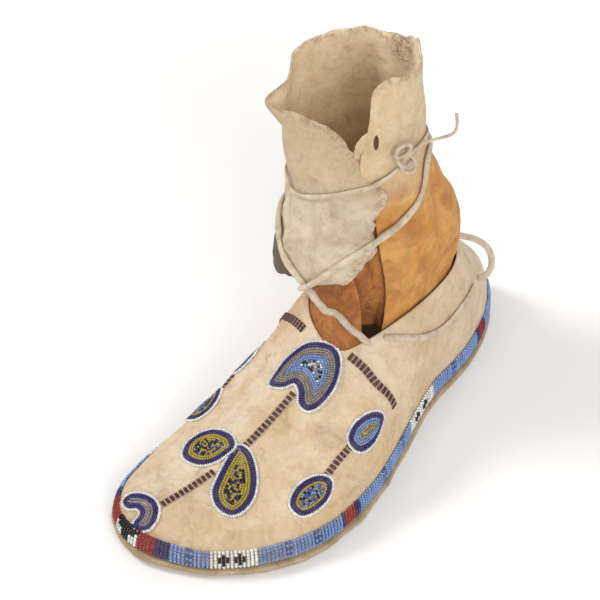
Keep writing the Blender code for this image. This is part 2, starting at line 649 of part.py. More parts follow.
for old in list(bpy.data.objects):
    bpy.data.objects.remove(old, do_unlink=True)
BOOT = bpy.data.collections.new("moccasin_boot")
bpy.context.scene.collection.children.link(BOOT)

make_outsole()
upper = make_upper()
wrap = make_wrap()
tongue = make_tongue()
make_band()
hide = surface_of([upper])
for motif in MOTIFS:
    make_motif(hide, *motif)
for stem in STEMS:
    make_stem(hide, *stem)

dressed = surface_of([upper, wrap, tongue])
for name, places, width in (
    ("ankle_tie", ANKLE_TIE, TIE_WIDTH),
    ("cross_thong", CROSS_THONG, THONG_WIDTH),
    ("drawstring_lateral", DRAWSTRING_LATERAL, LOOP_WIDTH),
    ("drawstring_medial", DRAWSTRING_MEDIAL, LOOP_WIDTH),
):
    make_cord(name, on_leather(dressed, places, width), width)
roots = on_leather(dressed, HEEL_LOOP_ROOTS, LOOP_WIDTH)
make_cord("heel_loop", [roots[0], *HEEL_LOOP, roots[1]], LOOP_WIDTH)
make_cord("tie_end", TIE_END, TIE_WIDTH)
make_knot(on_leather(dressed, TIE_KNOT, KNOT_SIZE)[0])
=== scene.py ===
# %% [markdown]
# This is a beaded moccasin boot: a soft hide shoe on a stiff rawhide sole, with a tall ankle wrap that is
# tied with thongs, and with glass beads sewn on it. The packed model gives every piece its true place and
# size. Here each piece gets the look of the real one: folded hide, hide thongs and nearly five thousand
# separate beads.

# %% load the frame
from collections import deque

import bpy
import numpy as np
from mathutils import Matrix, Vector, noise
from mathutils.bvhtree import BVHTree


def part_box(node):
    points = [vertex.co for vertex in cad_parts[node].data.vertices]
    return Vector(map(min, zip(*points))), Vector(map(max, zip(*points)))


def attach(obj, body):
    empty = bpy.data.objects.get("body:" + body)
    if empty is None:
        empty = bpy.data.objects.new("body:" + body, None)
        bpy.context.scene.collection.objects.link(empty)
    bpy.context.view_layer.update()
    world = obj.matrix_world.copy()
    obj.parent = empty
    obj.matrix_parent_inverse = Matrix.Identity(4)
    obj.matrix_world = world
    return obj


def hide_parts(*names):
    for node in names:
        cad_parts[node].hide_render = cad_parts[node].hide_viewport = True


MM = 0.001
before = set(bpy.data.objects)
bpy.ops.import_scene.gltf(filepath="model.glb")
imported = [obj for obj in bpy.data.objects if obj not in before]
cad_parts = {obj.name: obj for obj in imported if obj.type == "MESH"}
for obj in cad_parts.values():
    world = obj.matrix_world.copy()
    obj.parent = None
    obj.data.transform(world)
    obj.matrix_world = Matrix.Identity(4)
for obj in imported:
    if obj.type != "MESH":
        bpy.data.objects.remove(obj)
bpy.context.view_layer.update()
bpy.ops.object.select_all(action="DESELECT")
print("pieces in the frame:", len(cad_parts))

# %% [markdown]
# The camera comes first, because the cords and the detail are judged through it. It looks at the outer side
# of the boot from the toe's side and from well above, with a long lens, as for a catalogue picture.

# %% the camera
CAMERA_AZIMUTH = np.radians(40.0)
CAMERA_ELEVATION = np.radians(43.0)
CAMERA_DISTANCE = 1.5
CAMERA_LENS = 180.0
CAMERA_AIM = Vector((-0.0479, 0.0400, 0.0232))


def place_camera():
    """A camera that looks at the aim point from the chosen side and height."""
    flat = np.cos(CAMERA_ELEVATION)
    back = Vector(
        (np.sin(CAMERA_AZIMUTH) * flat, -np.cos(CAMERA_AZIMUTH) * flat, np.sin(CAMERA_ELEVATION))
    )
    turn = back.to_track_quat("Z", "Y").to_euler()
    bpy.ops.object.camera_add(location=CAMERA_AIM + back * CAMERA_DISTANCE, rotation=turn)
    camera = bpy.context.object
    camera.data.lens = CAMERA_LENS
    bpy.context.scene.camera = camera
    bpy.ops.object.select_all(action="DESELECT")
    return camera


camera = place_camera()
print("camera at", tuple(round(v, 3) for v in camera.location))

# %% [markdown]
# Two short lengths of thong hang free: the end of the ankle tie, which springs out beside its knot, and the
# drawstring's loop at the heel. Each follows one smooth curve through a few points of its own. The curve is
# read again at even steps, so that its length can be measured.

# %% the free thongs' routes
TIE_END = (
    (0.01912, 0.0403, 0.1545), (0.0198, 0.0434, 0.1572), (0.0206, 0.0469, 0.1581), (0.0227, 0.0503, 0.1586),
    (0.0254, 0.0541, 0.1592), (0.0282, 0.0571, 0.1604), (0.0298, 0.0589, 0.1630), (0.0296, 0.0599, 0.1670),
    (0.0284, 0.0607, 0.1710),
)
HEEL_LOOP = (
    (0.02368, 0.09108, 0.04466), (0.0270, 0.0925, 0.0468), (0.0283, 0.0951, 0.0510), (0.0272, 0.0968, 0.0560),
    (0.0240, 0.0970, 0.0612), (0.0205, 0.0945, 0.0650), (0.01154, 0.08801, 0.06834),
)
ROUTE_STEPS = 40


def distances_along(line):
    """How far along a line through points each of its points is."""
    return np.concatenate([[0.0], np.cumsum(np.linalg.norm(np.diff(line, axis=0), axis=1))])


def read_line(line, gone, at):
    """The places on a line at some distances along it."""
    return np.stack([np.interp(at, gone, line[:, k]) for k in range(line.shape[1])], axis=1)


def smooth_route(points, count):
    """A smooth curve through a route's points, read at even steps."""
    rows = np.array(points, float)
    gone = distances_along(rows)
    slopes = np.gradient(rows, gone, axis=0)
    at = np.linspace(0.0, gone[-1], count)
    i = np.clip(np.searchsorted(gone, at, side="right") - 1, 0, len(gone) - 2)
    span = (gone[i + 1] - gone[i])[:, None]
    q = (at - gone[i])[:, None] / span
    near = (1 + 2 * q) * (1 - q) ** 2 * rows[i] + q * (1 - q) ** 2 * span * slopes[i]
    far = q * q * (3 - 2 * q) * rows[i + 1] - q * q * (1 - q) * span * slopes[i + 1]
    return near + far


def route_length(points):
    """How long a line through points is."""
    return float(np.linalg.norm(np.diff(np.array(points), axis=0), axis=1).sum())


tie_route = smooth_route(TIE_END, ROUTE_STEPS)
loop_route = smooth_route(HEEL_LOOP, ROUTE_STEPS)
print("free end", round(route_length(tie_route) / MM, 1), "mm long")
print("heel loop", round(route_length(loop_route) / MM, 1), "mm long")

# %% [markdown]
# The free end is thin and round, and a curve with a round bevel is the shortest way to make it. The loop is
# a flat strip, so a section with rounded corners is carried along its route instead, ring by ring. Its
# broad face is turned away from a point far below and behind the heel.

# %% the free thongs
TIE_WIDTH = 1.5 * MM
LOOP_WIDTH = 3.2 * MM
LOOP_THICK = 1.2 * MM
LOOP_TURNED_FROM = (-0.12, 0.26, -0.15)
STRIP_SIDES = 12


def unit(rows):
    """Rows of vectors at length one."""
    return rows / np.linalg.norm(rows, axis=1, keepdims=True)


def new_piece(name, data):
    """A mesh or a curve as an object in the scene."""
    piece = bpy.data.objects.new(name, data)
    bpy.context.scene.collection.objects.link(piece)
    return piece


def flat_thong(name, rows, width, thickness, away_from):
    """A flat strip of hide along a route, its face turned away from a point."""
    ahead = unit(np.gradient(rows, axis=0))
    face = rows - np.array(away_from)
    face = unit(face - ahead * np.sum(face * ahead, axis=1, keepdims=True))
    side = np.cross(ahead, face)
    around = np.linspace(0, 2 * np.pi, STRIP_SIDES, endpoint=False)
    wide = np.sign(np.cos(around)) * np.abs(np.cos(around)) ** 0.6 * width / 2
    thick = np.sign(np.sin(around)) * np.abs(np.sin(around)) ** 0.8 * thickness / 2
    rings = rows[:, None] + side[:, None] * wide[None, :, None] + face[:, None] * thick[None, :, None]
    last = (len(rows) - 1) * STRIP_SIDES
    faces = []
    for ring in range(0, last, STRIP_SIDES):
        for j in range(STRIP_SIDES):
            k = (j + 1) % STRIP_SIDES
            faces.append((ring + j, ring + k, ring + STRIP_SIDES + k, ring + STRIP_SIDES + j))
    faces.append(tuple(range(STRIP_SIDES - 1, -1, -1)))
    faces.append(tuple(range(last, last + STRIP_SIDES)))
    mesh = bpy.data.meshes.new(name)
    mesh.from_pydata(rings.reshape(-1, 3).tolist(), [], faces)
    mesh.shade_smooth()
    return new_piece(name, mesh)


def round_thong(name, routes, width, closed=False):
    """A thong as a curve with a round bevel, with one stretch for each route."""
    data = bpy.data.curves.new(name, "CURVE")
    data.dimensions = "3D"
    data.bevel_depth = width / 2
    data.bevel_resolution = 3
    data.use_fill_caps = True
    for route in routes:
        spline = data.splines.new("POLY")
        spline.points.add(len(route) - 1)
        for point, place in zip(spline.points, route):
            point.co = (*place, 1.0)
        spline.use_cyclic_u = closed
    return new_piece(name, data)


tie_end = round_thong("tie_end_thong", [tie_route], TIE_WIDTH)
heel_loop = flat_thong("heel_loop_thong", loop_route, LOOP_WIDTH, LOOP_THICK, LOOP_TURNED_FROM)
print("the heel loop has", len(heel_loop.data.polygons), "faces")

# %% [markdown]
# A finish is a tree of nodes. Written as plain arithmetic it is easier to read, so a value from the tree is
# wrapped in a small class that adds a Math node for each sign, and every other node comes from one method.


# %% values and finishes
class Value:
    """A value in a finish, which can be added, subtracted and multiplied."""

    def __init__(self, finish, socket):
        self.finish = finish
        self.socket = socket

    def math(self, operation, left, right=None):
        return self.finish.node("ShaderNodeMath", {"operation": operation}, {0: left, 1: right})

    def __add__(self, other):
        return self.math("ADD", self, other)

    def __sub__(self, other):
        return self.math("SUBTRACT", self, other)

    def __rsub__(self, other):
        return self.math("SUBTRACT", other, self)

    def __mul__(self, other):
        return self.math("MULTIPLY", self, other)

    __radd__ = __add__
    __rmul__ = __mul__


class Finish:
    """A material with a Principled shader, and the nodes that feed it."""

    def __init__(self, name, roughness):
        self.material = bpy.data.materials.new(name)
        self.material.use_nodes = True
        self.tree = self.material.node_tree
        self.shader = self.tree.nodes["Principled BSDF"]
        self.shader.inputs["Roughness"].default_value = roughness
        self.place = self.node("ShaderNodeTexCoord", output="Object")

    def node(self, kind, settings=None, inputs=None, output=0):
        """Adds a node: first its settings, then the values or links of its sockets."""
        made = self.tree.nodes.new(kind)
        for name, value in (settings or {}).items():
            setattr(made, name, value)
        for name, value in (inputs or {}).items():
            if isinstance(value, Value):
                self.tree.links.new(value.socket, made.inputs[name])
            elif value is not None:
                made.inputs[name].default_value = value
        return Value(self, made.outputs[output])

    def noise(self, size, detail=3.0, roughness=0.5, distortion=0.0, place=None):
        """Soft noise whose blobs are about the given size in metres."""
        inputs = {
            "Vector": place or self.place, "Scale": 1.0 / size, "Detail": detail, "Roughness": roughness,
            "Distortion": distortion,
        }
        return self.node("ShaderNodeTexNoise", None, inputs)

    def stretched(self, x, y, z):
        """The place on the boot with its axes scaled, so that a pattern is drawn out along one."""
        inputs = {"Vector": self.place, "Scale": (x, y, z)}
        return self.node("ShaderNodeMapping", None, inputs)

    def nearness(self, spot, reach):
        """Goes from 1 at a spot on the boot to 0 at some distance from it."""
        gap = self.node("ShaderNodeVectorMath", {"operation": "DISTANCE"}, {0: self.place, 1: spot}, "Value")
        return self.between(gap, reach, reach * 0.35)

    def between(self, value, low, high):
        """Goes smoothly from 0 where the value is at low to 1 where it is at high."""
        inputs = {"Value": value, "From Min": low, "From Max": high}
        return self.node("ShaderNodeMapRange", {"interpolation_type": "SMOOTHSTEP"}, inputs)

    def mix(self, share, first, second):
        """A colour between two others."""
        first = first if isinstance(first, Value) else (*first, 1.0)
        second = second if isinstance(second, Value) else (*second, 1.0)
        settings = {"data_type": "RGBA"}
        return self.node("ShaderNodeMix", settings, {0: share, 6: first, 7: second}, 2)

    def tint(self, share, colour, over):
        """A colour multiplied over another."""
        settings = {"data_type": "RGBA", "blend_type": "MULTIPLY"}
        return self.node("ShaderNodeMix", settings, {0: share, 6: over, 7: (*colour, 1.0)}, 2)

    def axis(self, name):
        """One coordinate of the place on the boot."""
        return self.node("ShaderNodeSeparateXYZ", None, {0: self.place}, name)

    def attribute(self, name, output="Fac"):
        """A value stored on the mesh's points."""
        return self.node("ShaderNodeAttribute", {"attribute_name": name}, None, output)

    def feed(self, socket, value):
        """Links a value to the shader."""
        self.tree.links.new(value.socket, self.shader.inputs[socket])

    def bump(self, height, distance, strength=1.0, under=None):
        """Turns a height into a normal, over another bump if there is one."""
        inputs = {"Height": height, "Distance": distance, "Strength": strength, "Normal": under}
        return self.node("ShaderNodeBump", None, inputs)


print("ways to add to a finish:", [name for name in vars(Finish) if not name.startswith("_")])

# %% [markdown]
# Every hide here has the same nap. Its colour has specks, mottling and long scrapes, and its relief has
# fine fibres, a grain and soft pits. The grain also moves the roughness a little.

# %% the nap of hide
SPECKS = (0.62, 0.50, 0.38)
MOTTLING = (0.78, 0.72, 0.64)
SCRAPES = (0.74, 0.64, 0.52)


def nap(finish, colour, pits=0.00026, speck=0.40):
    """The fine surface of hide, over a colour: the pits' depth in metres, and how strong the specks are."""
    specks = finish.between(finish.noise(0.0012, 4.0, 0.7), 0.56, 0.74) * speck
    colour = finish.tint(specks, SPECKS, colour)
    mottle = finish.between(finish.noise(0.0055, 5.0, 0.68, 0.8), 0.42, 0.68) * 0.55
    colour = finish.tint(mottle, MOTTLING, colour)
    scrapes = finish.noise(0.0030, 3.0, 0.6, 0.4, finish.stretched(0.25, 1.0, 1.0))
    colour = finish.tint(finish.between(scrapes, 0.52, 0.72) * 0.26, SCRAPES, colour)
    fibres = finish.noise(0.0006, 4.0, 0.65, 1.5)
    grain = finish.noise(0.0022, 5.0, 0.6, 0.6)
    relief = finish.bump(fibres, pits, 0.55)
    relief = finish.bump(grain, pits * 2.5, 0.6, relief)
    relief = finish.bump(finish.noise(0.011, 3.0, 0.5, 0.3), pits * 7.0, 0.5, relief)
    finish.feed("Normal", relief)
    finish.feed("Roughness", 0.80 + grain * 0.18)
    finish.feed("Base Color", colour)


print("the nap's colours:", SPECKS, MOTTLING, SCRAPES)

# %% [markdown]
# Smoked hide isn't one colour. The foot is cream where the grain is worn and tan where it took the smoke,
# with grime over the toe. Each change is a mask between 0 and 1, from noise or from the place on the boot,
# which mixes one colour over the last.

# %% the foot's hide
CREAM = (0.75, 0.63, 0.47)
TAN = (0.58, 0.42, 0.245)
SMOKE = (0.56, 0.245, 0.056)
LOW_TAN = (0.60, 0.40, 0.20)
PALE_GREY = (0.65, 0.55, 0.41)
DUST = (0.30, 0.235, 0.16)
GRIME = (0.36, 0.27, 0.18)
OUTER_TAN = (0.66, 0.45, 0.22)


def upper_finish():
    """The foot's hide: cream on the vamp, tan towards the throat's inner side and along the band."""
    finish = Finish("upper_hide", 0.9)
    blotches = finish.between(finish.noise(0.045, 3.0, 0.55, 0.8), 0.38, 0.66)
    clouds = finish.between(finish.noise(0.014, 4.0, 0.6, 0.5), 0.35, 0.70)
    colour = finish.mix(blotches * 0.60 + clouds * 0.32, CREAM, TAN)
    inner = finish.between(finish.axis("X") + finish.axis("Y") * 0.10, -0.006, -0.034)
    height = finish.axis("Z")
    throat = finish.between(finish.axis("Y"), -0.045, 0.010) * finish.between(height, 0.030, 0.060)
    colour = finish.mix(inner * throat * 0.65, colour, SMOKE)
    low = finish.between(height + finish.noise(0.02) * 0.010, 0.034, 0.014)
    colour = finish.mix(low * 0.34, colour, LOW_TAN)
    heel = finish.between(finish.axis("Y") + finish.noise(0.03) * 0.03, 0.030, 0.075)
    colour = finish.mix(heel * 0.35, colour, PALE_GREY)
    stains = finish.between(finish.noise(0.024, 5.0, 0.7, 1.2), 0.54, 0.70)
    colour = finish.mix(stains * 0.44, colour, DUST)
    toe = finish.between(finish.axis("Y") + finish.noise(0.02) * 0.03, -0.060, -0.115)
    grime = finish.between(finish.noise(0.009, 5.0, 0.7, 0.8), 0.44, 0.66)
    colour = finish.mix(toe * (0.20 + grime * 0.40), colour, GRIME)
    outer = finish.between(finish.axis("X"), 0.020, 0.052) * finish.between(finish.axis("Y"), -0.07, 0.04)
    colour = finish.mix(outer * 0.22, colour, OUTER_TAN)
    nap(finish, colour)
    return finish.material


upper_hide = upper_finish()
print("nodes in the foot's hide:", len(upper_hide.node_tree.nodes))

# %% [markdown]
# The wrap was smoked most at the heel, and its collar has greyed. The front flap is paler, with a painted
# shadow low on its inner side, where its lower corner hangs in shade. Three masks are kept on the mesh's
# points, because only its shape can give them: how far round the sheet a point is, how near it is to a cut
# edge, and whether it is on the inside.

# %% the wrap's hide
DEEP_SMOKE = (0.36, 0.145, 0.036)
LIGHT_SMOKE = (0.64, 0.35, 0.105)
GREY_BEIGE = (0.62, 0.475, 0.295)
PALE_BEIGE = (0.70, 0.58, 0.40)
FLAP_SHADE = (0.44, 0.35, 0.245)
FLAP_TAN = (0.52, 0.40, 0.25)
# The two colours of the painted shadow under the flap's lower inner corner.
FLAP_PAINTED_SHADOW_DARK = (0.050, 0.036, 0.022)
FLAP_PAINTED_SHADOW_LIGHT = (0.120, 0.088, 0.055)
# Partly the hide's paler inner face, partly painted light for the shaded inside of the collar.
INSIDE_PALE_AND_PAINTED_LIGHT = (0.92, 0.78, 0.57)
CRUMPLE_BROWN = (0.20, 0.11, 0.055)
RIM_BROWN = (0.27, 0.15, 0.085)
COLLAR_CRUMPLE = (-0.0122, 0.0742, 0.1785)


def wrap_finish():
    """The wrap's hide: smoked orange round the heel, greyer up to the collar, pale on the front flap."""
    finish = Finish("wrap_hide", 0.9)
    height = finish.axis("Z") + (finish.noise(0.030, 3.0, 0.5) - 0.5) * 0.030
    turn = finish.attribute("round")
    clouds = finish.between(finish.noise(0.020, 4.0, 0.6, 0.6), 0.35, 0.68)
    smoked = finish.mix(clouds, SMOKE, LIGHT_SMOKE)
    deep = finish.between(finish.noise(0.018, 4.0, 0.62, 1.0), 0.46, 0.66)
    smoked = finish.mix(deep * 0.60, smoked, DEEP_SMOKE)
    grey = finish.mix(clouds * 0.6, GREY_BEIGE, PALE_BEIGE)
    colour = finish.mix(finish.between(height, 0.118, 0.158), smoked, grey)
    flap = finish.mix(clouds * 0.75, PALE_GREY, FLAP_SHADE)
    flap = finish.mix(finish.between(height, 0.118, 0.152) * 0.85, flap, FLAP_TAN)
    colour = finish.mix(finish.between(turn, 175.0, 235.0), colour, flap)
    # Painted shadow: the flap's lower inner corner hangs in shade, so it is painted dark below a slanting
    # line.
    slant = turn + (height - 0.095) * 1300.0
    flap_painted_shadow = finish.between(turn, 214.0, 226.0) * finish.between(slant, 266.0, 258.0)
    flap_painted_shadow = flap_painted_shadow * finish.between(height, 0.106, 0.096)
    colour = finish.mix(flap_painted_shadow * 0.95, colour, finish.mix(clouds, FLAP_PAINTED_SHADOW_DARK, FLAP_PAINTED_SHADOW_LIGHT))
    # The inside is painted paler: partly its own paler face, partly painted light that lifts the shade in the
    # collar.
    colour = finish.mix(finish.attribute("inside") * 0.75, colour, INSIDE_PALE_AND_PAINTED_LIGHT)
    crumple = finish.nearness(COLLAR_CRUMPLE, 0.014)
    scribble = finish.between(finish.noise(0.0028, 4.0, 0.7, 2.5), 0.47, 0.56)
    colour = finish.mix(crumple * (0.20 + scribble * 0.50), colour, CRUMPLE_BROWN)
    worn = finish.between(finish.noise(0.0035, 4.0, 0.7, 1.0), 0.44, 0.58)
    colour = finish.mix(finish.attribute("rim") * worn * 0.55, colour, RIM_BROWN)
    smudge = finish.between(finish.noise(0.016, 5.0, 0.7, 1.5), 0.57, 0.72)
    colour = finish.mix(smudge * 0.38, colour, DUST)
    nap(finish, colour)
    return finish.material


wrap_hide = wrap_finish()
print("nodes in the wrap's hide:", len(wrap_hide.node_tree.nodes))

# %% [markdown]
# The tongue, the sole and the thongs are simpler: two colours in soft clouds, and a third in the cracks or
# as dirt. On the tongue the dark cracks are also painted shade for its folds. They differ in their colours,
# the sizes of their noise and how deep their nap is.

# %% the plainer hides
BROWN = (0.33, 0.115, 0.032)
LIGHT_BROWN = (0.46, 0.18, 0.050)
# Dark brown of the tongue's cracks, also used as painted shade for its folds.
CRACK_BROWN_AND_PAINTED_SHADE = (0.13, 0.040, 0.013)
RAWHIDE = (0.50, 0.39, 0.25)
RAWHIDE_SHADE = (0.36, 0.26, 0.15)
RAWHIDE_DIRT = (0.22, 0.16, 0.11)
THONG_PALE = (0.64, 0.54, 0.42)
THONG_SHADE = (0.50, 0.41, 0.31)
THONG_DIRT = (0.25, 0.20, 0.16)


def tongue_finish():
    """The tongue's brown hide, cracked and rubbed where it folds, its dark cracks partly painted shade."""
    finish = Finish("tongue_hide", 0.9)
    clouds = finish.between(finish.noise(0.008, 4.0, 0.65, 1.0), 0.38, 0.62)
    # Dark cracks: partly the hide's own cracks, partly painted shade that stands in for the shade in its
    # folds.
    cracks_and_painted_shade = finish.between(finish.noise(0.004, 5.0, 0.7, 2.0), 0.56, 0.66)
    colour = finish.mix(cracks_and_painted_shade * 0.7, finish.mix(clouds, BROWN, LIGHT_BROWN), CRACK_BROWN_AND_PAINTED_SHADE)
    nap(finish, colour, 0.00024, 0.5)
    return finish.material


def sole_finish():
    """The rawhide sole: hard, matt and scraped, with dirt in it."""
    finish = Finish("sole_rawhide", 0.85)
    clouds = finish.between(finish.noise(0.012, 4.0, 0.6, 0.5), 0.36, 0.66)
    dirt = finish.between(finish.noise(0.005, 5.0, 0.7, 1.0), 0.52, 0.68)
    colour = finish.mix(dirt * 0.5, finish.mix(clouds, RAWHIDE, RAWHIDE_SHADE), RAWHIDE_DIRT)
    nap(finish, colour, 0.00022, 0.4)
    return finish.material


def thong_finish():
    """Thin strips of grey-beige hide."""
    finish = Finish("thong_hide", 0.9)
    clouds = finish.between(finish.noise(0.006, 4.0, 0.6, 0.5), 0.35, 0.68)
    dirt = finish.between(finish.noise(0.003, 4.0, 0.7), 0.55, 0.70)
    colour = finish.mix(dirt * 0.4, finish.mix(clouds, THONG_PALE, THONG_SHADE), THONG_DIRT)
    nap(finish, colour, 0.00012, 0.3)
    return finish.material


tongue_hide = tongue_finish()
sole_rawhide = sole_finish()
thong_hide = thong_finish()
print("hide finishes:", [m.name for m in bpy.data.materials if m.name.endswith("hide")])

# %% [markdown]
# The hide pieces start from the packed solids, which have the true shape of the last and a wall of real
# thickness. A copy is welded, turned back into quads and subdivided, so it is smooth enough to take folds.

# %% a smooth copy of a packed piece
WELD_GAP = 0.02 * MM
QUAD_ANGLE = np.radians(60)
HIDE_LEVELS = 2


def pick(piece):
    """Selects one piece and nothing else."""
    bpy.ops.object.select_all(action="DESELECT")
    piece.select_set(True)
    bpy.context.view_layer.objects.active = piece


def modify(piece, kind, **settings):
    """Gives the active piece a modifier with some settings, and applies it."""
    bpy.ops.object.modifier_add(type=kind)
    modifier = piece.modifiers[-1]
    for name, value in settings.items():
        setattr(modifier, name, value)
    bpy.ops.object.modifier_apply(modifier=modifier.name)


def welded_copy(node, name, finish):
    """A copy of a packed piece as one welded, subdivided surface that rides on the boot in its place."""
    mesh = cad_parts[node].data.copy()
    mesh.name = name
    mesh.materials.clear()
    mesh.materials.append(finish)
    piece = new_piece(name, mesh)
    pick(piece)
    bpy.ops.object.mode_set(mode="EDIT")
    bpy.ops.mesh.select_all(action="SELECT")
    bpy.ops.mesh.remove_doubles(threshold=WELD_GAP)
    bpy.ops.mesh.tris_convert_to_quads(face_threshold=QUAD_ANGLE, shape_threshold=QUAD_ANGLE)
    bpy.ops.object.mode_set(mode="OBJECT")
    modify(piece, "SUBSURF", levels=HIDE_LEVELS, render_levels=HIDE_LEVELS)
    bpy.ops.object.shade_smooth()
    bpy.ops.object.select_all(action="DESELECT")
    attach(piece, "root")
    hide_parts(node)
    return piece


def points_of(piece):
    """A mesh's points as an array."""
    places = np.zeros(len(piece.data.vertices) * 3, np.float32)
    piece.data.vertices.foreach_get("co", places)
    return places.reshape(-1, 3).astype(float)


def move_points(piece, places):
    """Puts a mesh's points where an array says."""
    piece.data.vertices.foreach_set("co", places.astype(np.float32).ravel())
    piece.data.update()


upper = welded_copy("upper", "upper_leather", upper_hide)
print("upper:", len(upper.data.polygons), "faces")

# %% [markdown]
# Folds are pushed into the hide, each along its own line, as a soft trough with a ridge on either
# side. Between them the hide has soft waves of a few sizes. Both are worked out for all the points at once.

# %% folds and waves
def distance_to_line(places, line):
    """How far each place is from a line, and how far along it the nearest spot is, as a share."""
    line = np.array(line, float)
    best = np.full(len(places), np.inf)
    share = np.zeros(len(places))
    for k, (start, end) in enumerate(zip(line[:-1], line[1:])):
        run = end - start
        q = np.clip((places - start) @ run / (run @ run), 0.0, 1.0)
        gap = np.linalg.norm(places - start - q[:, None] * run, axis=1)
        nearer = gap < best
        best[nearer] = gap[nearer]
        share[nearer] = (k + q[nearer]) / (len(line) - 1)
    return best, share


def fold(places, line, depth, width):
    """How much a trough along a line pushes each place in, with a ridge beside it, fading at its ends."""
    gap, share = distance_to_line(places, line)
    q = gap / width
    profile = np.exp(-q * q) - 0.45 * np.exp(-((q - 1.9) ** 2) / 0.5)
    return depth * profile * np.sin(np.pi * np.clip(share, 0.04, 0.96)) ** 0.6


def waves(places, size, seed):
    """Soft waves between -1 and 1, of about the given size."""
    shift = Vector((seed * 7.3, seed * 3.1, seed * 5.7))
    return np.array([noise.noise(Vector(p) / size + shift) for p in places])


def ripples(places, *rows):
    """Waves of several sizes on top of each other. A row is a height and a size in mm, and a seed."""
    return sum(height * MM * waves(places, size * MM, seed) for height, size, seed in rows)


def ease(low, high, value):
    """Goes smoothly from 0 at low to 1 at high."""
    q = np.clip((value - low) / (high - low), 0.0, 1.0)
    return q * q * (3 - 2 * q)


def bell(distance, reach):
    """Is 1 at no distance, and fades smoothly away past the reach."""
    return np.exp(-((distance / reach) ** 2))


across_fold = np.array([[0.0, 0.0, 0.0], [0.0, 1.9, 0.0]])
print("a fold's trough and ridge, as shares:", fold(across_fold, [(-1, 0, 0), (1, 0, 0)], 1.0, 1.0).round(2))

# %% [markdown]
# The foot's upper is one hide sewn round the sole. It is nearly smooth, because it was stretched over a
# foot, but it sags a little beside the instep and puckers above the seam. Both skins of its wall move
# together, along directions that lead away from a line low inside the foot, so the wall keeps its
# thickness. Near another piece the moves fade out, so nothing is pushed through its neighbour.

# %% the foot's folds
FOOT_CORE_HEIGHT = 12.0 * MM
FOOT_CURVE = 14.0 * MM
FOOT_ENDS_FROM = 0.78
FOOT_ENDS_REACH = 60.0 * MM
# Each fold is a line of three places in metres, its depth and its width in mm.
VAMP_FOLDS = (
    (((0.046, -0.030, 0.034), (0.049, 0.000, 0.030), (0.045, 0.028, 0.028)), 1.1, 6.0),
    (((0.034, -0.004, 0.050), (0.043, 0.008, 0.040), (0.046, 0.026, 0.034)), 0.8, 5.0),
    (((-0.030, -0.040, 0.040), (-0.034, -0.012, 0.040), (-0.033, 0.016, 0.038)), 0.9, 6.0),
    (((0.018, -0.060, 0.046), (0.032, -0.052, 0.036), (0.045, -0.050, 0.024)), 0.5, 6.0),
    (((-0.006, -0.074, 0.040), (-0.020, -0.070, 0.030), (-0.031, -0.072, 0.020)), 0.5, 5.0),
    (((0.036, 0.052, 0.036), (0.038, 0.076, 0.030), (0.030, 0.104, 0.030)), 0.9, 6.0),
    (((-0.034, 0.046, 0.036), (-0.026, 0.078, 0.032), (-0.010, 0.108, 0.034)), 0.9, 6.0),
    (((0.020, 0.112, 0.040), (0.022, 0.118, 0.028), (0.018, 0.122, 0.018)), 0.7, 4.0),
)


def surface_of(*pieces):
    """A search tree over the faces of pieces."""
    points, faces = [], []
    for piece in pieces:
        start = len(points)
        points += [v.co.copy() for v in piece.data.vertices]
        faces += [[start + i for i in f.vertices] for f in piece.data.polygons]
    return BVHTree.FromPolygons(points, faces)


def neighbours_of(*nodes):
    """A search tree over packed pieces that lie next to the one being shaped."""
    return surface_of(*(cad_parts[node] for node in nodes))


def gaps_to(tree, places):
    """How far each place is from the surface in a search tree."""
    return np.array([tree.find_nearest(Vector(p))[3] for p in places])


def foot_directions(places):
    """Directions away from a line that runs low inside the foot."""
    low, high = (np.array(corner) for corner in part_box("upper"))
    middle = (low[0] + high[0]) / 2 - (places[:, 1] / (high[1] - low[1])) * FOOT_CURVE
    core = np.stack([middle, places[:, 1], np.full(len(places), FOOT_CORE_HEIGHT)], axis=1)
    ends = np.clip(np.abs(places[:, 1] - (low[1] + high[1]) / 2) / (high[1] - low[1]) * 2, 0, 1)
    past = (ends > FOOT_ENDS_FROM) * (ends - FOOT_ENDS_FROM)
    core[:, 1] -= past * np.sign(places[:, 1]) * FOOT_ENDS_REACH
    return unit(places - core)


places = points_of(upper)
room = ease(0.6 * MM, 5.0 * MM, gaps_to(neighbours_of("ankle_wrap", "tongue", "outsole"), places))
move = ripples(places, (0.42, 30.0, 1), (0.16, 11.0, 2))
pucker = ripples(places * np.array([1.0, 1.0, 0.25]), (0.20, 5.0, 3))
move = move + pucker * ease(34.0 * MM, 18.0 * MM, places[:, 2])
for line, depth, width in VAMP_FOLDS:
    move = move - fold(places, line, depth * MM, width * MM)
move_points(upper, places + foot_directions(places) * (move * room)[:, None])
print("the foot's deepest fold:", round(float(-(move * room).min()) / MM, 1), "mm")

# %% [markdown]
# The ankle wrap is one tall sheet that goes round the leg and laps over itself in front. A finish that
# differs between the flap and the panel under it needs to know how far round the sheet each point is, past
# the full turn too. Walking from edge to edge of the mesh and adding up the small turns gives that, and it
# is kept on the points.

# %% how far round the wrap
ANKLE_AXIS = np.array([-0.0158, 0.0462])
START_DEGREES = -30.0
START_HEIGHT = 165.0 * MM


def degrees_round(places):
    """The angle of each place about the ankle, from the outer side towards the heel."""
    return np.degrees(np.arctan2(places[:, 1] - ANKLE_AXIS[1], places[:, 0] - ANKLE_AXIS[0]))


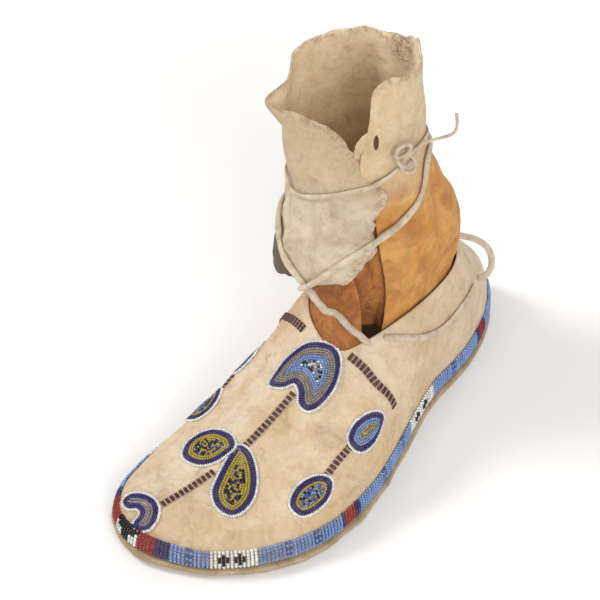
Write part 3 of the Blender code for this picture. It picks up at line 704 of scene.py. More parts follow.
def turns_along(mesh, places, start):
    """The unbroken angle of every point, added up along the edges from a starting point."""
    angles = degrees_round(places)
    beside = [[] for _ in places]
    for a, b in (e.vertices for e in mesh.edges):
        beside[a].append(b)
        beside[b].append(a)
    turns = np.full(len(places), np.nan)
    turns[start] = angles[start]
    queue = deque([start])
    while queue:
        here = queue.popleft()
        for there in beside[here]:
            if np.isnan(turns[there]):
                step = (angles[there] - angles[here] + 180.0) % 360.0 - 180.0
                turns[there] = turns[here] + step
                queue.append(there)
    return turns


def store(mesh, name, values):
    """Keeps a number on each point of a mesh for its finish."""
    mesh.attributes.new(name, "FLOAT", "POINT").data.foreach_set("value", values.astype(np.float32))


wrap = welded_copy("ankle_wrap", "ankle_wrap_leather", wrap_hide)
places = points_of(wrap)
off_start = np.abs(degrees_round(places) - START_DEGREES)
first = int(np.argmin(np.where(places[:, 2] > START_HEIGHT, off_start, np.inf)))
turns = turns_along(wrap.data, places, first)
store(wrap.data, "round", turns)
print("the wrap goes from", round(float(turns.min())), "to", round(float(turns.max())), "degrees")

# %% [markdown]
# The wrap's folds are placed where the hide is pulled in by its thongs and bent at the ankle. Each is a
# line of angles and heights, which is dropped on the surface first. Every move in or out from the ankle's
# axis is added up before the points are moved, so that each line still meets the smooth surface.

# %% the wrap's folds
# Each fold is a line of three places, in degrees round the ankle and mm up, then its depth and width in mm.
WRAP_FOLDS = (
    (((-8, 182), (-12, 172), (-15, 160)), 1.3, 4.0),
    (((8, 180), (6, 165), (2, 150)), 0.8, 5.0),
    (((-10, 146), (-2, 128), (4, 108)), -0.7, 5.0),
    (((26, 142), (30, 118), (22, 92)), 1.3, 6.0),
    (((-26, 84), (4, 77), (44, 82)), 1.4, 4.5),
    (((-22, 98), (2, 94), (34, 101)), 0.9, 4.5),
    (((10, 70), (34, 66), (62, 72)), 1.2, 4.5),
    (((62, 104), (92, 99), (124, 105)), 1.6, 5.0),
    (((66, 88), (94, 84), (122, 89)), 1.4, 5.0),
    (((52, 168), (56, 140), (50, 112)), 1.3, 6.0),
    (((104, 172), (98, 142), (104, 114)), 1.4, 6.0),
    (((146, 170), (152, 136), (142, 104)), 1.5, 6.0),
    (((182, 152), (176, 122), (186, 92)), 1.2, 6.0),
    (((204, 112), (198, 88), (206, 70)), 1.2, 5.0),
    (((228, 158), (233, 128), (229, 98)), 1.3, 5.0),
    (((250, 140), (246, 116), (251, 84)), 1.0, 5.0),
    (((272, 118), (268, 96), (274, 70)), 0.9, 5.0),
    (((304, 134), (282, 116), (254, 110)), 0.8, 4.5),
    (((236, 96), (262, 88), (290, 92)), 0.7, 5.0),
)
FOLD_STRENGTH = 1.35


def out_at(degrees):
    """The level direction out from the ankle's axis at an angle."""
    angle = np.radians(degrees)
    return Vector((np.cos(angle), np.sin(angle), 0.0))


def on_axis(height):
    """The place on the ankle's axis at a height."""
    return Vector((*ANKLE_AXIS, height))


def on_wrap(tree, degrees, height):
    """The place on the wrap's outside at an angle round the ankle and a height."""
    out = out_at(degrees)
    hit = tree.ray_cast(on_axis(height) + out * 0.2, -out)[0]
    return hit if hit is not None else on_axis(height) + out * 0.03


def fine_line(points, count=13):
    """A smooth line through three points, as more points."""
    q = np.linspace(0.0, 1.0, count)[:, None]
    a, b, c = (np.array(p, float) for p in points)
    return a * (1 - q) * (1 - 2 * q) + b * 4 * q * (1 - q) + c * q * (2 * q - 1)


def level_out(places):
    """The level direction out from the ankle's axis at each place."""
    return np.column_stack([unit(places[:, :2] - ANKLE_AXIS), np.zeros(len(places))])


places = points_of(wrap)
heights = places[:, 2]
out = level_out(places)
wrap_tree = surface_of(wrap)
folds = np.zeros(len(places))
for line, depth, width in WRAP_FOLDS:
    on = [on_wrap(wrap_tree, degrees, height * MM) for degrees, height in fine_line(line)]
    folds = folds + FOLD_STRENGTH * fold(places, on, depth * MM, width * MM)
print("wrap:", len(WRAP_FOLDS), "folds, the deepest", round(float(folds.max()) / MM, 1), "mm")

# %% [markdown]
# Between the folds the hide waves more the higher it gets, because nothing holds the collar. It has small
# wrinkles all over, and larger ones that lie level low down, where the foot bends. The thongs press a groove
# all round.

# %% waves, wrinkles and the thongs' groove
GROOVE = 1.0 * MM
GROOVE_REACH = 4.5 * MM
LEVEL = np.array([1.0, 1.0, 2.4])
UPRIGHT = np.array([1.0, 1.0, 0.35])

to_thong = gaps_to(neighbours_of("ankle_tie", "cross_thong"), places)
move = ripples(places, (0.50, 26.0, 4), (0.22, 10.0, 5))
move = move + ease(0.130, 0.190, heights) * ripples(places * UPRIGHT, (1.6, 21.0, 6))
move = move - GROOVE * bell(to_thong, GROOVE_REACH) - folds
wrinkles = 1.15 * MM * (0.5 - np.abs(waves(places * LEVEL, 0.016, 15))) * ease(0.125, 0.085, heights)
wrinkles = wrinkles + 0.55 * MM * (0.5 - np.abs(waves(places, 0.009, 16)))
print("wrinkles reach", round(float(np.ptp(wrinkles)) / MM, 1), "mm from trough to ridge")

# %% [markdown]
# The collar has forms of its own: one lobe that flares out, a crumpled spot inside, and two stretches where
# the hide leans in. The slit has a raised lip. All of them fade with the distance from their place. Then
# everything is added up, and the moves fade out beside the foot's upper and, going in, beside the tongue.

# %% the collar's forms
# The flare's place is given in degrees round the ankle and in metres up.
COLLAR_FLARE = (229.0, 0.164)
FLARE_OUT = 6.5 * MM
FLARE_REACH = 6.5 * MM
CRUMPLE_REACH = 10.0 * MM
SLIT_PLACE = np.array([0.0096, 0.0255, 0.1660])
LIP_HEIGHT = 0.9 * MM
LIP_RADIUS = 3.4 * MM
LIP_REACH = 1.4 * MM


def lean_in(depth, degrees, reach, low, high):
    """How far the collar leans in about an angle: its depth and heights in mm, its reach in degrees."""
    return depth * MM * bell(turns - degrees, reach) * ease(low * MM, high * MM, heights)


flare = bell(np.linalg.norm(places - np.array(on_wrap(wrap_tree, *COLLAR_FLARE)), axis=1), FLARE_REACH)
crumple = bell(np.linalg.norm(places - np.array(COLLAR_CRUMPLE), axis=1), CRUMPLE_REACH)
crumple = crumple * ripples(places, (1.5, 4.5, 17), (0.6, 2.0, 18))
drawn_in = lean_in(2.4, 38.0, 20.0, 158.0, 180.0) + lean_in(4.0, 212.0, 14.0, 176.0, 186.0)
from_slit = np.linalg.norm((places - SLIT_PLACE) / np.array([1.0, 1.0, 1.5]), axis=1)
lip = LIP_HEIGHT * bell(from_slit - LIP_RADIUS, LIP_REACH)
move = move + wrinkles + flare * FLARE_OUT + crumple + lip - drawn_in
room_inside = ease(1.2 * MM, 5.0 * MM, gaps_to(neighbours_of("tongue"), places))
move = np.where(move < 0.0, move * room_inside, move)
room = ease(0.6 * MM, 4.0 * MM, gaps_to(neighbours_of("upper"), places))
moved = places + out * (move * room)[:, None]
print("the flare stands", round(float((move * flare).max()) / MM, 1), "mm out")

# %% [markdown]
# The collar stands a few millimetres over the packed piece, less at its outer front corner and more behind
# it. Its cut edge is ragged, because the hide was cut with a knife and has worn. The front flap's free edge
# is torn in the same way, sideways. That needs the furthest point of the sheet at each height.

# %% the ragged edges
UP = np.array([0.0, 0.0, 1.0])
COLLAR_RISE = 5.2 * MM
EDGE_LOWEST = 55.0 * MM
EDGE_BIN = 5.0 * MM
EDGE_BINS = 31


def by_group(groups, count, values, best):
    """The best value of each group of points, such as the highest, or 0 for a group with no points."""
    return np.array([best(values[groups == k]) if (groups == k).any() else 0.0 for k in range(count)])


ragged = ripples(places, (1.3, 13.0, 7), (0.9, 4.5, 8)) + flare * 1.5 * MM
corner = ease(-26.0, -50.0, turns) * 6.0 * MM + ease(40.0, -30.0, turns) * 2.0 * MM
corner = corner - 3.5 * MM * bell(turns - 60.0, 24.0)
raised = (COLLAR_RISE - corner) * ease(0.130, 0.185, heights) + ragged * ease(0.140, 0.165, heights)
levels = np.clip(((heights - EDGE_LOWEST) / EDGE_BIN).astype(int), 0, EDGE_BINS - 1)
edge = by_group(levels, EDGE_BINS, turns, np.max)
beside_edge = ease(-15.0, -1.0, turns - edge[levels])
sideways = np.column_stack([-out[:, 1], out[:, 0], np.zeros(len(out))])
tatter = ripples(places, (2.4, 9.0, 9), (1.7, 3.6, 10))
moved = moved + UP * raised[:, None] + sideways * (tatter * beside_edge)[:, None]
print("the collar rises by up to", round(float(raised.max()) / MM, 1), "mm")

# %% [markdown]
# In front the flap's hem hangs higher than the packed piece's. The points there are raised, most at the hem
# and less above it. The ankle widens downwards, so each raised point is also drawn in: a curve fitted to
# how the radius changes with the height, one for every few degrees, says by how much.

# %% the lifted hem
HEM_LIFT = 9.5 * MM
HEM_TOP = 84.0 * MM
HEM_FADE = 42.0 * MM
PROFILE_TOP = 150.0 * MM
SECTOR_DEGREES = 6.0
SECTORS = 71

sectors = np.clip(((turns - turns.min()) / SECTOR_DEGREES).astype(int), 0, SECTORS - 1)
lows = np.minimum(by_group(sectors, SECTORS, heights, np.min), HEM_TOP)
above_hem = heights - np.convolve(np.pad(lows, 1, "edge"), np.ones(3) / 3, "valid")[sectors]
lift = HEM_LIFT * ease(243.0, 267.0, turns) * ease(HEM_FADE, 4.0 * MM, above_hem)
lift = lift * (1.0 + 0.16 * waves(places, 0.007, 19))
radii = np.linalg.norm(places[:, :2] - ANKLE_AXIS, axis=1)
inward = np.zeros(len(places))
for k in np.unique(sectors[lift > 0.0]):
    beside = (np.abs(sectors - k) <= 1) & (heights < PROFILE_TOP)
    profile = np.polyfit(heights[beside], radii[beside], 2)
    mine = sectors == k
    inward[mine] = np.polyval(profile, (heights + lift)[mine]) - np.polyval(profile, heights[mine])
moved = moved + out * inward[:, None] + UP * lift[:, None]
move_points(wrap, moved)
print("the hem is lifted by up to", round(float(lift.max()) / MM, 1), "mm")

# %% [markdown]
# The wrap's finish reads two more numbers from its points. One is high near the collar's rim and the flap's
# free edge. The other is high where a point's normal leans back towards the ankle's axis, which is the
# sheet's inside. There the finish paints the hide paler: partly its own paler inner face, partly painted
# light that lifts the shade inside the collar.

# %% the wrap's rim and inside
tops = by_group(sectors, SECTORS, moved[:, 2], np.max)
store(wrap.data, "rim", np.maximum(beside_edge, ease(-6.0 * MM, -1.5 * MM, moved[:, 2] - tops[sectors])))
facing = np.array([v.normal for v in wrap.data.vertices])
store(wrap.data, "inside", ease(0.0, -0.5, np.sum(facing * out, axis=1)))
print("wrap:", len(wrap.data.polygons), "faces")

# %% [markdown]
# The outer panel of the wrap has a small ear at its front edge, with a slit that a tie once ran through.
# The ear is a little grid of faces with its corner cut away, which is bent round the ankle just behind the
# panel, and then given its wall.

# %% the slit ear
EAR_FROM, EAR_TO = -33.0, -57.0
EAR_LOW, EAR_HIGH = 147.0 * MM, 172.0 * MM
EAR_CORNER = (0.45, 0.55)
EAR_BACKED_AT = -30.0
EAR_DEFAULT_RADIUS = 32.0 * MM
EAR_SINK = 0.8 * MM
EAR_STAND = 1.8 * MM
THIN_WALL = 1.2 * MM


def radius_at(tree, degrees, height, default):
    """How far out from the ankle's axis the inner face of a piece lies, at an angle and a height."""
    gap = tree.ray_cast(on_axis(height), out_at(degrees))[3]
    return gap if gap is not None else default


def place_round(degrees, radius, height):
    """The place at an angle round the ankle's axis, a distance out from it and a height."""
    angle = np.radians(degrees)
    return ANKLE_AXIS[0] + radius * np.cos(angle), ANKLE_AXIS[1] + radius * np.sin(angle), height


def ear_place(tree, across, rise):
    """Where a spot of the ear lies, from how far across it is and how far up, both as shares."""
    height = EAR_LOW + (EAR_HIGH - EAR_LOW) * rise
    radius = radius_at(tree, EAR_BACKED_AT, height, EAR_DEFAULT_RADIUS) - EAR_SINK
    radius += EAR_STAND * ease(0.25, 0.95, across) * ease(0.35, 0.8, rise)
    radius += 0.5 * MM * noise.noise(Vector((across * 5, rise * 5, 2.0)))
    lean = 1.2 * MM * noise.noise(Vector((across * 7, rise * 7, 5.0)))
    return place_round(EAR_FROM + (EAR_TO - EAR_FROM) * across, radius, height + lean)


def past_corner(across, rise):
    """Whether a spot of the grid lies outside the ear's rounded corner."""
    off_side = max(0.0, across - EAR_CORNER[0]) / (1.0 - EAR_CORNER[0])
    off_top = max(0.0, rise - EAR_CORNER[1]) / (1.0 - EAR_CORNER[1])
    return off_side**2 + off_top**2 > 1.0


def slit_ear():
    """The ear, cut from a bent grid."""
    tree = surface_of(wrap)
    bpy.ops.mesh.primitive_grid_add(x_subdivisions=26, y_subdivisions=30, size=1.0)
    ear = bpy.context.object
    ear.name = "slit_ear"
    bpy.ops.object.mode_set(mode="EDIT")
    bpy.ops.mesh.select_all(action="DESELECT")
    bpy.ops.object.mode_set(mode="OBJECT")
    for v in ear.data.vertices:
        v.select = bool(past_corner(v.co.x + 0.5, v.co.y + 0.5))
    bpy.ops.object.mode_set(mode="EDIT")
    bpy.ops.mesh.delete(type="VERT")
    bpy.ops.object.mode_set(mode="OBJECT")
    for v in ear.data.vertices:
        v.co = ear_place(tree, v.co.x + 0.5, v.co.y + 0.5)
    modify(ear, "SOLIDIFY", thickness=THIN_WALL, offset=0.0)
    modify(ear, "SUBSURF", levels=2, render_levels=2)
    bpy.ops.object.mode_set(mode="EDIT")
    bpy.ops.mesh.select_all(action="SELECT")
    bpy.ops.mesh.normals_make_consistent(inside=False)
    bpy.ops.object.mode_set(mode="OBJECT")
    bpy.ops.object.shade_smooth()
    ear.data.materials.append(wrap_hide)
    bpy.ops.object.select_all(action="DESELECT")
    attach(ear, "root")
    return ear


ear = slit_ear()
print("slit ear:", len(ear.data.polygons), "faces")

# %% [markdown]
# The slit is cut through the ear and the panel together, by a flattened cylinder that is taken away from
# each.

# %% the slit
SLIT_FACING = (0.55, -0.62, 0.56)
SLIT_HALF_WIDTH = 1.3 * MM
SLIT_HALF_HEIGHT = 3.7 * MM
KNIFE_DEPTH = 11.0 * MM


def cut_slit(piece):
    """Cuts the slit through a piece, square to the hide."""
    bpy.ops.mesh.primitive_cylinder_add(vertices=32, radius=1.0, depth=1.0, location=SLIT_PLACE)
    knife = bpy.context.object
    facing = Vector(SLIT_FACING).normalized()
    side = Vector((0, 0, 1)).cross(facing).normalized()
    sides = (side * SLIT_HALF_WIDTH, facing.cross(side) * SLIT_HALF_HEIGHT, facing * KNIFE_DEPTH)
    knife.data.transform(Matrix(sides).transposed().to_4x4())
    pick(piece)
    modify(piece, "BOOLEAN", operation="DIFFERENCE", object=knife)
    bpy.ops.object.select_all(action="DESELECT")
    bpy.data.objects.remove(knife)


before = len(wrap.data.vertices)
cut_slit(ear)
cut_slit(wrap)
print("the slit adds", len(wrap.data.vertices) - before, "points to the wrap")

# %% [markdown]
# The tongue is a thinner, browner hide that is folded up inside the throat. Its folds only go in, away from
# the wrap that closes over it.

# %% the tongue
# Each fold is a line of three places in metres, its depth and its width in mm.
TONGUE_FOLDS = (
    (((-0.020, -0.010, 0.062), (-0.002, -0.013, 0.066), (0.016, -0.008, 0.062)), 1.0, 3.5),
    (((-0.016, -0.006, 0.076), (0.000, -0.006, 0.082), (0.014, 0.000, 0.078)), 0.9, 3.5),
    (((0.004, -0.010, 0.070), (0.008, -0.004, 0.092), (0.006, 0.004, 0.110)), 0.9, 3.5),
)
TONGUE_BACK = 0.3 * MM

tongue = welded_copy("tongue", "tongue_leather", tongue_hide)
places = points_of(tongue)
room = ease(0.6 * MM, 3.0 * MM, gaps_to(neighbours_of("ankle_wrap", "upper"), places))
move = ripples(places, (0.35, 12.0, 11), (0.18, 5.0, 12))
for line, depth, width in TONGUE_FOLDS:
    move = move - fold(places, fine_line(line), depth * MM, width * MM)
move = np.minimum(move - TONGUE_BACK, 0.0)
move_points(tongue, places + level_out(places) * (move * ease(-0.2, 0.6, room))[:, None])
print("tongue:", len(tongue.data.polygons), "faces")

# %% [markdown]
# Beside the tongue its hide is folded once more, and the fold runs out behind the wrap's outer panel. It is
# a grid whose two sides follow the tongue and the panel. Pleats are pressed into it as rounded waves, and
# it always stays inside the panel.

# %% the tongue's pleat
PLEAT_LOW, PLEAT_HIGH = 58.0 * MM, 120.0 * MM
PLEAT_FROM, PLEAT_TO = -58.0, -27.0
PLEAT_LEAN = 16.0
PLEAT_PANEL_AT = -32.0
TONGUE_RADIUS = 40.0 * MM
PANEL_RADIUS = 38.0 * MM
PLEAT_CLEAR = 1.6 * MM


def pleat_place(tongue_tree, panel_tree, share, rise):
    """Where a spot of the pleat lies, from how far across it is and how far up, both as shares."""
    height = PLEAT_LOW + (PLEAT_HIGH - PLEAT_LOW) * rise
    start = PLEAT_FROM - PLEAT_LEAN * max(0.0, rise - 0.25)
    degrees = start + (PLEAT_TO - start) * share
    near = radius_at(tongue_tree, start, height, TONGUE_RADIUS) - 1.1 * MM
    far = radius_at(panel_tree, PLEAT_PANEL_AT, height, PANEL_RADIUS) - 1.0 * MM
    radius = near + (far - near) * ease(0.0, 0.75, share)
    pleats = abs(np.sin((share * 1.6 + 0.35 * rise + 0.06 * np.sin(11 * rise)) * np.pi)) ** 0.6
    radius -= (4.6 - 3.8 * pleats + 2.2 * ease(0.55, 0.95, share)) * MM
    radius = min(radius, radius_at(panel_tree, degrees, height, TONGUE_RADIUS) - PLEAT_CLEAR)
    return place_round(degrees, radius, height)


def tongue_pleat():
    """The tongue's outer fold: a pleated strip from behind the tongue to behind the wrap's outer panel."""
    bpy.ops.mesh.primitive_grid_add(x_subdivisions=25, y_subdivisions=29, size=1.0)
    pleat = bpy.context.object
    pleat.name = "tongue_pleat"
    trees = surface_of(tongue), surface_of(wrap)
    for v in pleat.data.vertices:
        v.co = pleat_place(*trees, v.co.x + 0.5, v.co.y + 0.5)
    modify(pleat, "SOLIDIFY", thickness=THIN_WALL, offset=1.0)
    modify(pleat, "SUBSURF", levels=1, render_levels=1)
    bpy.ops.object.shade_smooth()
    pleat.data.materials.append(tongue_hide)
    bpy.ops.object.select_all(action="DESELECT")
    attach(pleat, "root")
    return pleat


pleat = tongue_pleat()
print("pleat:", len(pleat.data.polygons), "faces")

# %% [markdown]
# The sole is a plate of rawhide that was sewn on wet, so its rim dried a little wavy. The rim only moves in
# and out, so the sole stays flat below, where the boot stands.

# %% the sole
LEVEL_ONLY = np.array([1.0, 1.0, 0.0])

sole = welded_copy("outsole", "sole_plate", sole_rawhide)
places = points_of(sole)
low, high = (np.array(corner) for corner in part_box("outsole"))
around = (places - (low + high) / 2) / (high - low) * 2
rim = ease(0.70, 0.95, np.linalg.norm(around[:, :2], axis=1))
wavy = ripples(places * LEVEL_ONLY, (0.9, 14.0, 13), (0.45, 4.5, 14))
flat = np.column_stack([unit(around[:, :2]), np.zeros(len(places))])
move_points(sole, places + flat * (wavy * rim)[:, None])
print("sole:", len(sole.data.polygons), "faces")

# %% [markdown]
# The ties are strips cut from hide scraps. In the frame they are round tubes that stand clear of the
# leather. Here each is pressed down: a point's height over the nearest hide is about halved while it is
# low, and where the strip bridges a hollow it only comes down by a fixed amount. That gives flat strips
# that follow the folds.

# %% the ties
PRESS_HEIGHT = 3.2 * MM
PRESS_SHARE = 0.52
TOUCHING = 0.1 * MM
ROUGHNESS = 0.8 * MM
hides = surface_of(upper, wrap, tongue)


def pressed_thong(node, name, seed, spread):
    """A packed tie as a flat strip of hide that lies on the leather, made wider by a spread in mm."""
    thong = welded_copy(node, name, thong_hide)
    outwards = np.array([v.normal for v in thong.data.vertices])
    places = points_of(thong) + outwards * spread * MM
    rough = 1.0 + 0.10 * waves(places, 0.007, seed) + 0.06 * waves(places, 0.0025, seed + 1)
    pressed = np.empty_like(places)
    for i, place in enumerate(places):
        hit, normal, _, gap = hides.find_nearest(Vector(place))
        away = Vector(place) - hit
        height = away.dot(normal) if abs(away.dot(normal)) > 0.3 * gap else gap
        drop = min(max(height, 0.0), PRESS_HEIGHT) * PRESS_SHARE
        pressed[i] = np.array(Vector(place) - (away.normalized() if gap > TOUCHING else normal) * drop)
        pressed[i] = pressed[i] + np.array(normal) * (rough[i] - 1.0) * ROUGHNESS
    move_points(thong, pressed)
    return thong


ties = [
    pressed_thong("ankle_tie", "ankle_tie_thong", 20, 0.42),
    pressed_thong("cross_thong", "cross_tie_thong", 22, 0.72),
    pressed_thong("drawstring_lateral", "drawstring_outer", 24, 0.50),
    pressed_thong("drawstring_medial", "drawstring_inner", 26, 0.40),
]
print("ties:", [tie.name for tie in ties])

# %% [markdown]
# The knot in the ankle tie is an overhand knot drawn up small. The sum of two circles and a wave gives the
# curve of such a knot exactly, so it needs no points placed by hand. A small loop of the same thong was
# left standing beside it, and that is an ellipse.

# %% the knot and the cords
KNOT_PLACE = Vector((0.0192, 0.0372, 0.1535))
KNOT_REACH = 2.3 * MM
KNOT_LEAN = (0.955, -0.25, 0.16)
KNOT_WIDTH = TIE_WIDTH * 1.25


def beside_knot(across, up, out):
    """Places in the knot's own frame, whose flat side is against the leather."""
    facing = Vector(KNOT_LEAN).normalized()
    side = Vector((0, 0, 1)).cross(facing).normalized()
    rise = facing.cross(side)
    return [KNOT_PLACE + (side * a + rise * b + facing * c) * KNOT_REACH for a, b, c in zip(across, up, out)]


def tie_the_knot():
    """An overhand knot, and the small loop that was left standing beside it."""
    t = np.linspace(0.0, 2 * np.pi, 60, endpoint=False)
    tied = beside_knot(np.sin(t) + 2 * np.sin(2 * t), np.cos(t) - 2 * np.cos(2 * t), -np.sin(3 * t) * 0.75)
    t = t[::2]
    loop = beside_knot(-1.4 + 1.9 * np.cos(t), 3.0 + 1.5 * np.sin(t), 0.7 + 0.4 * np.sin(t))
    return round_thong("tie_knot_thong", [tied, loop], KNOT_WIDTH, closed=True)


knot = tie_the_knot()
for piece, node in ((knot, "tie_knot"), (tie_end, "tie_end"), (heel_loop, "heel_loop")):
    piece.data.materials.append(thong_hide)
    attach(piece, "root")
    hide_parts(node)
print("knot", round(KNOT_REACH * 6 / MM, 1), "mm across")

# %% [markdown]
# All the beadwork is made of one kind of glass bead, a short barrel. It is modelled once, from a cylinder
# with bevelled rims. Thousands of separate objects would be slow, so each motif is one mesh: the bead is
# kept as arrays, from which all the beads of a motif are made at once.

# %% the bead
WHITE = (0.93, 0.93, 0.90)
NAVY = (0.062, 0.045, 0.195)
LAVENDER = (0.33, 0.30, 0.33)
SKY = (0.25, 0.39, 0.72)
DARK_SKY = (0.095, 0.155, 0.42)
YELLOW = (0.56, 0.44, 0.085)
RED = (0.42, 0.030, 0.035)
BLACK = (0.012, 0.012, 0.022)
MAROON = (0.125, 0.036, 0.030)
PALE = (0.62, 0.52, 0.42)


def model_bead():
    """A barrel bead of unit size along X, as arrays of points and faces."""
    bpy.ops.mesh.primitive_cylinder_add(vertices=8, radius=0.5, depth=1.0, rotation=(0, np.pi / 2, 0))
    bead = bpy.context.object
    bpy.ops.object.transform_apply(location=True, rotation=True, scale=True)
    bpy.ops.object.mode_set(mode="EDIT")
    bpy.ops.mesh.select_all(action="DESELECT")
    bpy.ops.object.mode_set(mode="OBJECT")
    for e in bead.data.edges:
        a, b = (bead.data.vertices[i].co for i in e.vertices)
        e.select = abs(a.x - b.x) < 0.01
    bpy.ops.object.mode_set(mode="EDIT")
    bpy.ops.mesh.bevel(offset=0.22, segments=1, affect="EDGES")
    bpy.ops.object.mode_set(mode="OBJECT")
    points = np.array([v.co for v in bead.data.vertices])
    faces = [tuple(f.vertices) for f in bead.data.polygons]
    bpy.data.objects.remove(bead)
    return points, faces


BEAD_POINTS, BEAD_FACES = model_bead()
print("a bead has", len(BEAD_FACES), "faces")

# %% [markdown]
# Glass is smooth, so a bead's finish has little relief. Its colour comes from the points, is a little
# uneven, and has dust in patches, which also dulls the shine.

# %% the beads' glass
GLASS_SHADE = (0.55, 0.55, 0.60)
BEAD_DUST = (0.42, 0.36, 0.30)


def bead_finish(name):
    """Glass beads: shiny, each with its own colour, a little dusty in patches."""
    finish = Finish(name, 0.30)
    colour = finish.attribute("colour", "Color")
    shade = finish.between(finish.noise(0.0016, 2.0, 0.5), 0.30, 0.72)
    colour = finish.tint(shade * 0.28, GLASS_SHADE, colour)
    dust = finish.between(finish.noise(0.012, 4.0, 0.6), 0.50, 0.75)
    colour = finish.mix(dust * 0.16, colour, BEAD_DUST)
    finish.feed("Base Color", colour)
    finish.feed("Roughness", 0.24 + dust * 0.35)
    finish.feed("Normal", finish.bump(finish.noise(0.0007, 2.0), 0.00006, 0.5))
    return finish.material


band_glass = bead_finish("band_glass")
motif_glass = bead_finish("motif_glass")
stem_glass = bead_finish("stem_glass")
print("glass finishes:", [m.name for m in bpy.data.materials if m.name.endswith("glass")])

# %% [markdown]
# Sewing turns rows of beads into one mesh. Each bead is turned so that its hole runs along the thread and
# its top faces away from the hide. Its colour is kept on its points.

# %% sew beads
def sew_beads(name, rows, glass, node):
    """One mesh of beads from rows of (place, axis, outward, length, width, colour)."""
    count = len(rows)
    place, axis, outward = (np.array([r[k] for r in rows], float) for k in range(3))
    length, width = (np.array([r[k] for r in rows], float) for k in (3, 4))
    colour = np.array([r[5] for r in rows], float)
    x = unit(axis)
    z = unit(outward - x * np.sum(outward * x, axis=1, keepdims=True))
    y = np.cross(z, x)
    shape = BEAD_POINTS[None, :, :]
    points = (
        place[:, None, :]
        + x[:, None, :] * shape[..., 0:1] * length[:, None, None]
        + y[:, None, :] * shape[..., 1:2] * width[:, None, None]
        + z[:, None, :] * shape[..., 2:3] * width[:, None, None]
    )
    size = len(BEAD_POINTS)
    faces = [tuple(i + k * size for i in face) for k in range(count) for face in BEAD_FACES]
    mesh = bpy.data.meshes.new(name)
    mesh.from_pydata(points.reshape(-1, 3).tolist(), [], faces)
    mesh.materials.append(glass)
    shade = np.ones((count, size, 4), np.float32)
    shade[..., :3] = colour[:, None, :]
    mesh.color_attributes.new("colour", "FLOAT_COLOR", "POINT").data.foreach_set("color", shade.ravel())
    mesh.shade_smooth()
    piece = new_piece(name, mesh)
    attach(piece, "root")
    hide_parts(node)
    return piece


print("corners in a bead:", len(BEAD_POINTS))

# %% [markdown]
# The band runs right round the foot in lane stitch: short strings of six beads, side by side, each sewn
# down at both ends, so that it looks ribbed. A ray from outside finds where each lane starts above the
# sole, and the lane then climbs the hide one bead at a time.

# %% the bead band's outline
LANE_PITCH = 1.9 * MM
LANE_BEADS = 6
BAND_BEAD = 1.47 * MM
BAND_MIDDLE = np.array([6.0 * MM, 0.0])
BAND_BINS = 90
BAND_RAYS = 1440
BAND_EDGE = 0.5 * MM
hide_tree = surface_of(upper)
random = np.random.default_rng(7)


def band_lows():
    """The height of the packed band's lower edge at even angles round the foot."""
    band = points_of(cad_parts["bead_band"])
    angle = np.arctan2(band[:, 1] - BAND_MIDDLE[1], band[:, 0] - BAND_MIDDLE[0])
    bins = np.round((angle + np.pi) / (2 * np.pi) * BAND_BINS).astype(int) % BAND_BINS
    lows = np.array([band[bins == k, 2].min() if (bins == k).any() else np.nan for k in range(BAND_BINS)])
    lows = np.nanmin([np.roll(lows, shift) for shift in (-2, -1, 0, 1, 2)], axis=0)
    return np.arange(BAND_BINS) / BAND_BINS * 2 * np.pi - np.pi, lows


def band_outline():
    """The band's lower edge as an evenly stepped closed line, from the toe by the outer side."""
    at, lows = band_lows()
    known = ~np.isnan(lows)
    turns = np.linspace(-np.pi, np.pi, BAND_RAYS, endpoint=False)
    ring = []
    for turn, height in zip(turns, np.interp(turns, at[known], lows[known], period=2 * np.pi)):
        out = Vector((np.cos(turn), np.sin(turn), 0.0))
        start = Vector((*BAND_MIDDLE, height + BAND_EDGE)) + out * 0.3
        ring.append(np.array(hide_tree.ray_cast(start, -out)[0]))
    ring = np.roll(np.array(ring), -int(np.argmin(np.array(ring)[:, 1])), axis=0)
    closed = np.vstack([ring, ring[:1]])
    gone = distances_along(closed)
    lanes = round(gone[-1] / LANE_PITCH)
    return read_line(closed, gone, np.arange(lanes) / lanes * gone[-1]), gone[-1]


outline, band_length = band_outline()
print("band:", round(band_length / MM), "mm,", len(outline), "lanes")

# %% [markdown]
# The chart names the colour blocks by their distance from the toe in mm, once for each side of the foot.
# White blocks carry small black crosses, and the block on the toe itself is a stepped figure in black on
# white.

# %% the band's chart
OUTER_CHART = (
    (0.0, "red"), (9.0, "navy"), (16.0, "sky"), (35.0, "crosses"), (58.0, "sky"), (103.0, "navy"),
    (105.0, "red"), (113.5, "navy"), (117.6, "sky"), (174.0, "crosses"), (202.0, "sky"), (246.5, "navy"),
    (249.5, "red"), (255.0, "navy"), (258.6, "sky"),
)
INNER_CHART = (
    (0.0, "steps"), (19.0, "red"), (31.0, "navy"), (37.0, "sky"), (62.0, "crosses"), (86.0, "sky"),
    (131.0, "navy"), (133.0, "red"), (141.0, "navy"), (145.5, "sky"), (202.0, "crosses"), (230.0, "sky"),
    (274.0, "navy"), (277.0, "red"), (283.0, "navy"), (287.0, "sky"),
)
CROSS_PLACES = (0.30, 0.66)
BLOCK_COLOURS = {"red": RED, "navy": NAVY, "sky": SKY}
DARK_STREAKS = (26.0, 74.0, 88.0, 139.0, 163.0, 221.0)
CHART_END = 300.0


def block_at(chart, distance):
    """The block of the chart that a distance falls in, how far through it that is, and its width."""
    starts = [row[0] for row in chart] + [CHART_END]
    k = max(i for i in range(len(chart)) if starts[i] <= distance)
    width = starts[k + 1] - starts[k]
    return chart[k][1], (distance - starts[k]) / width, width


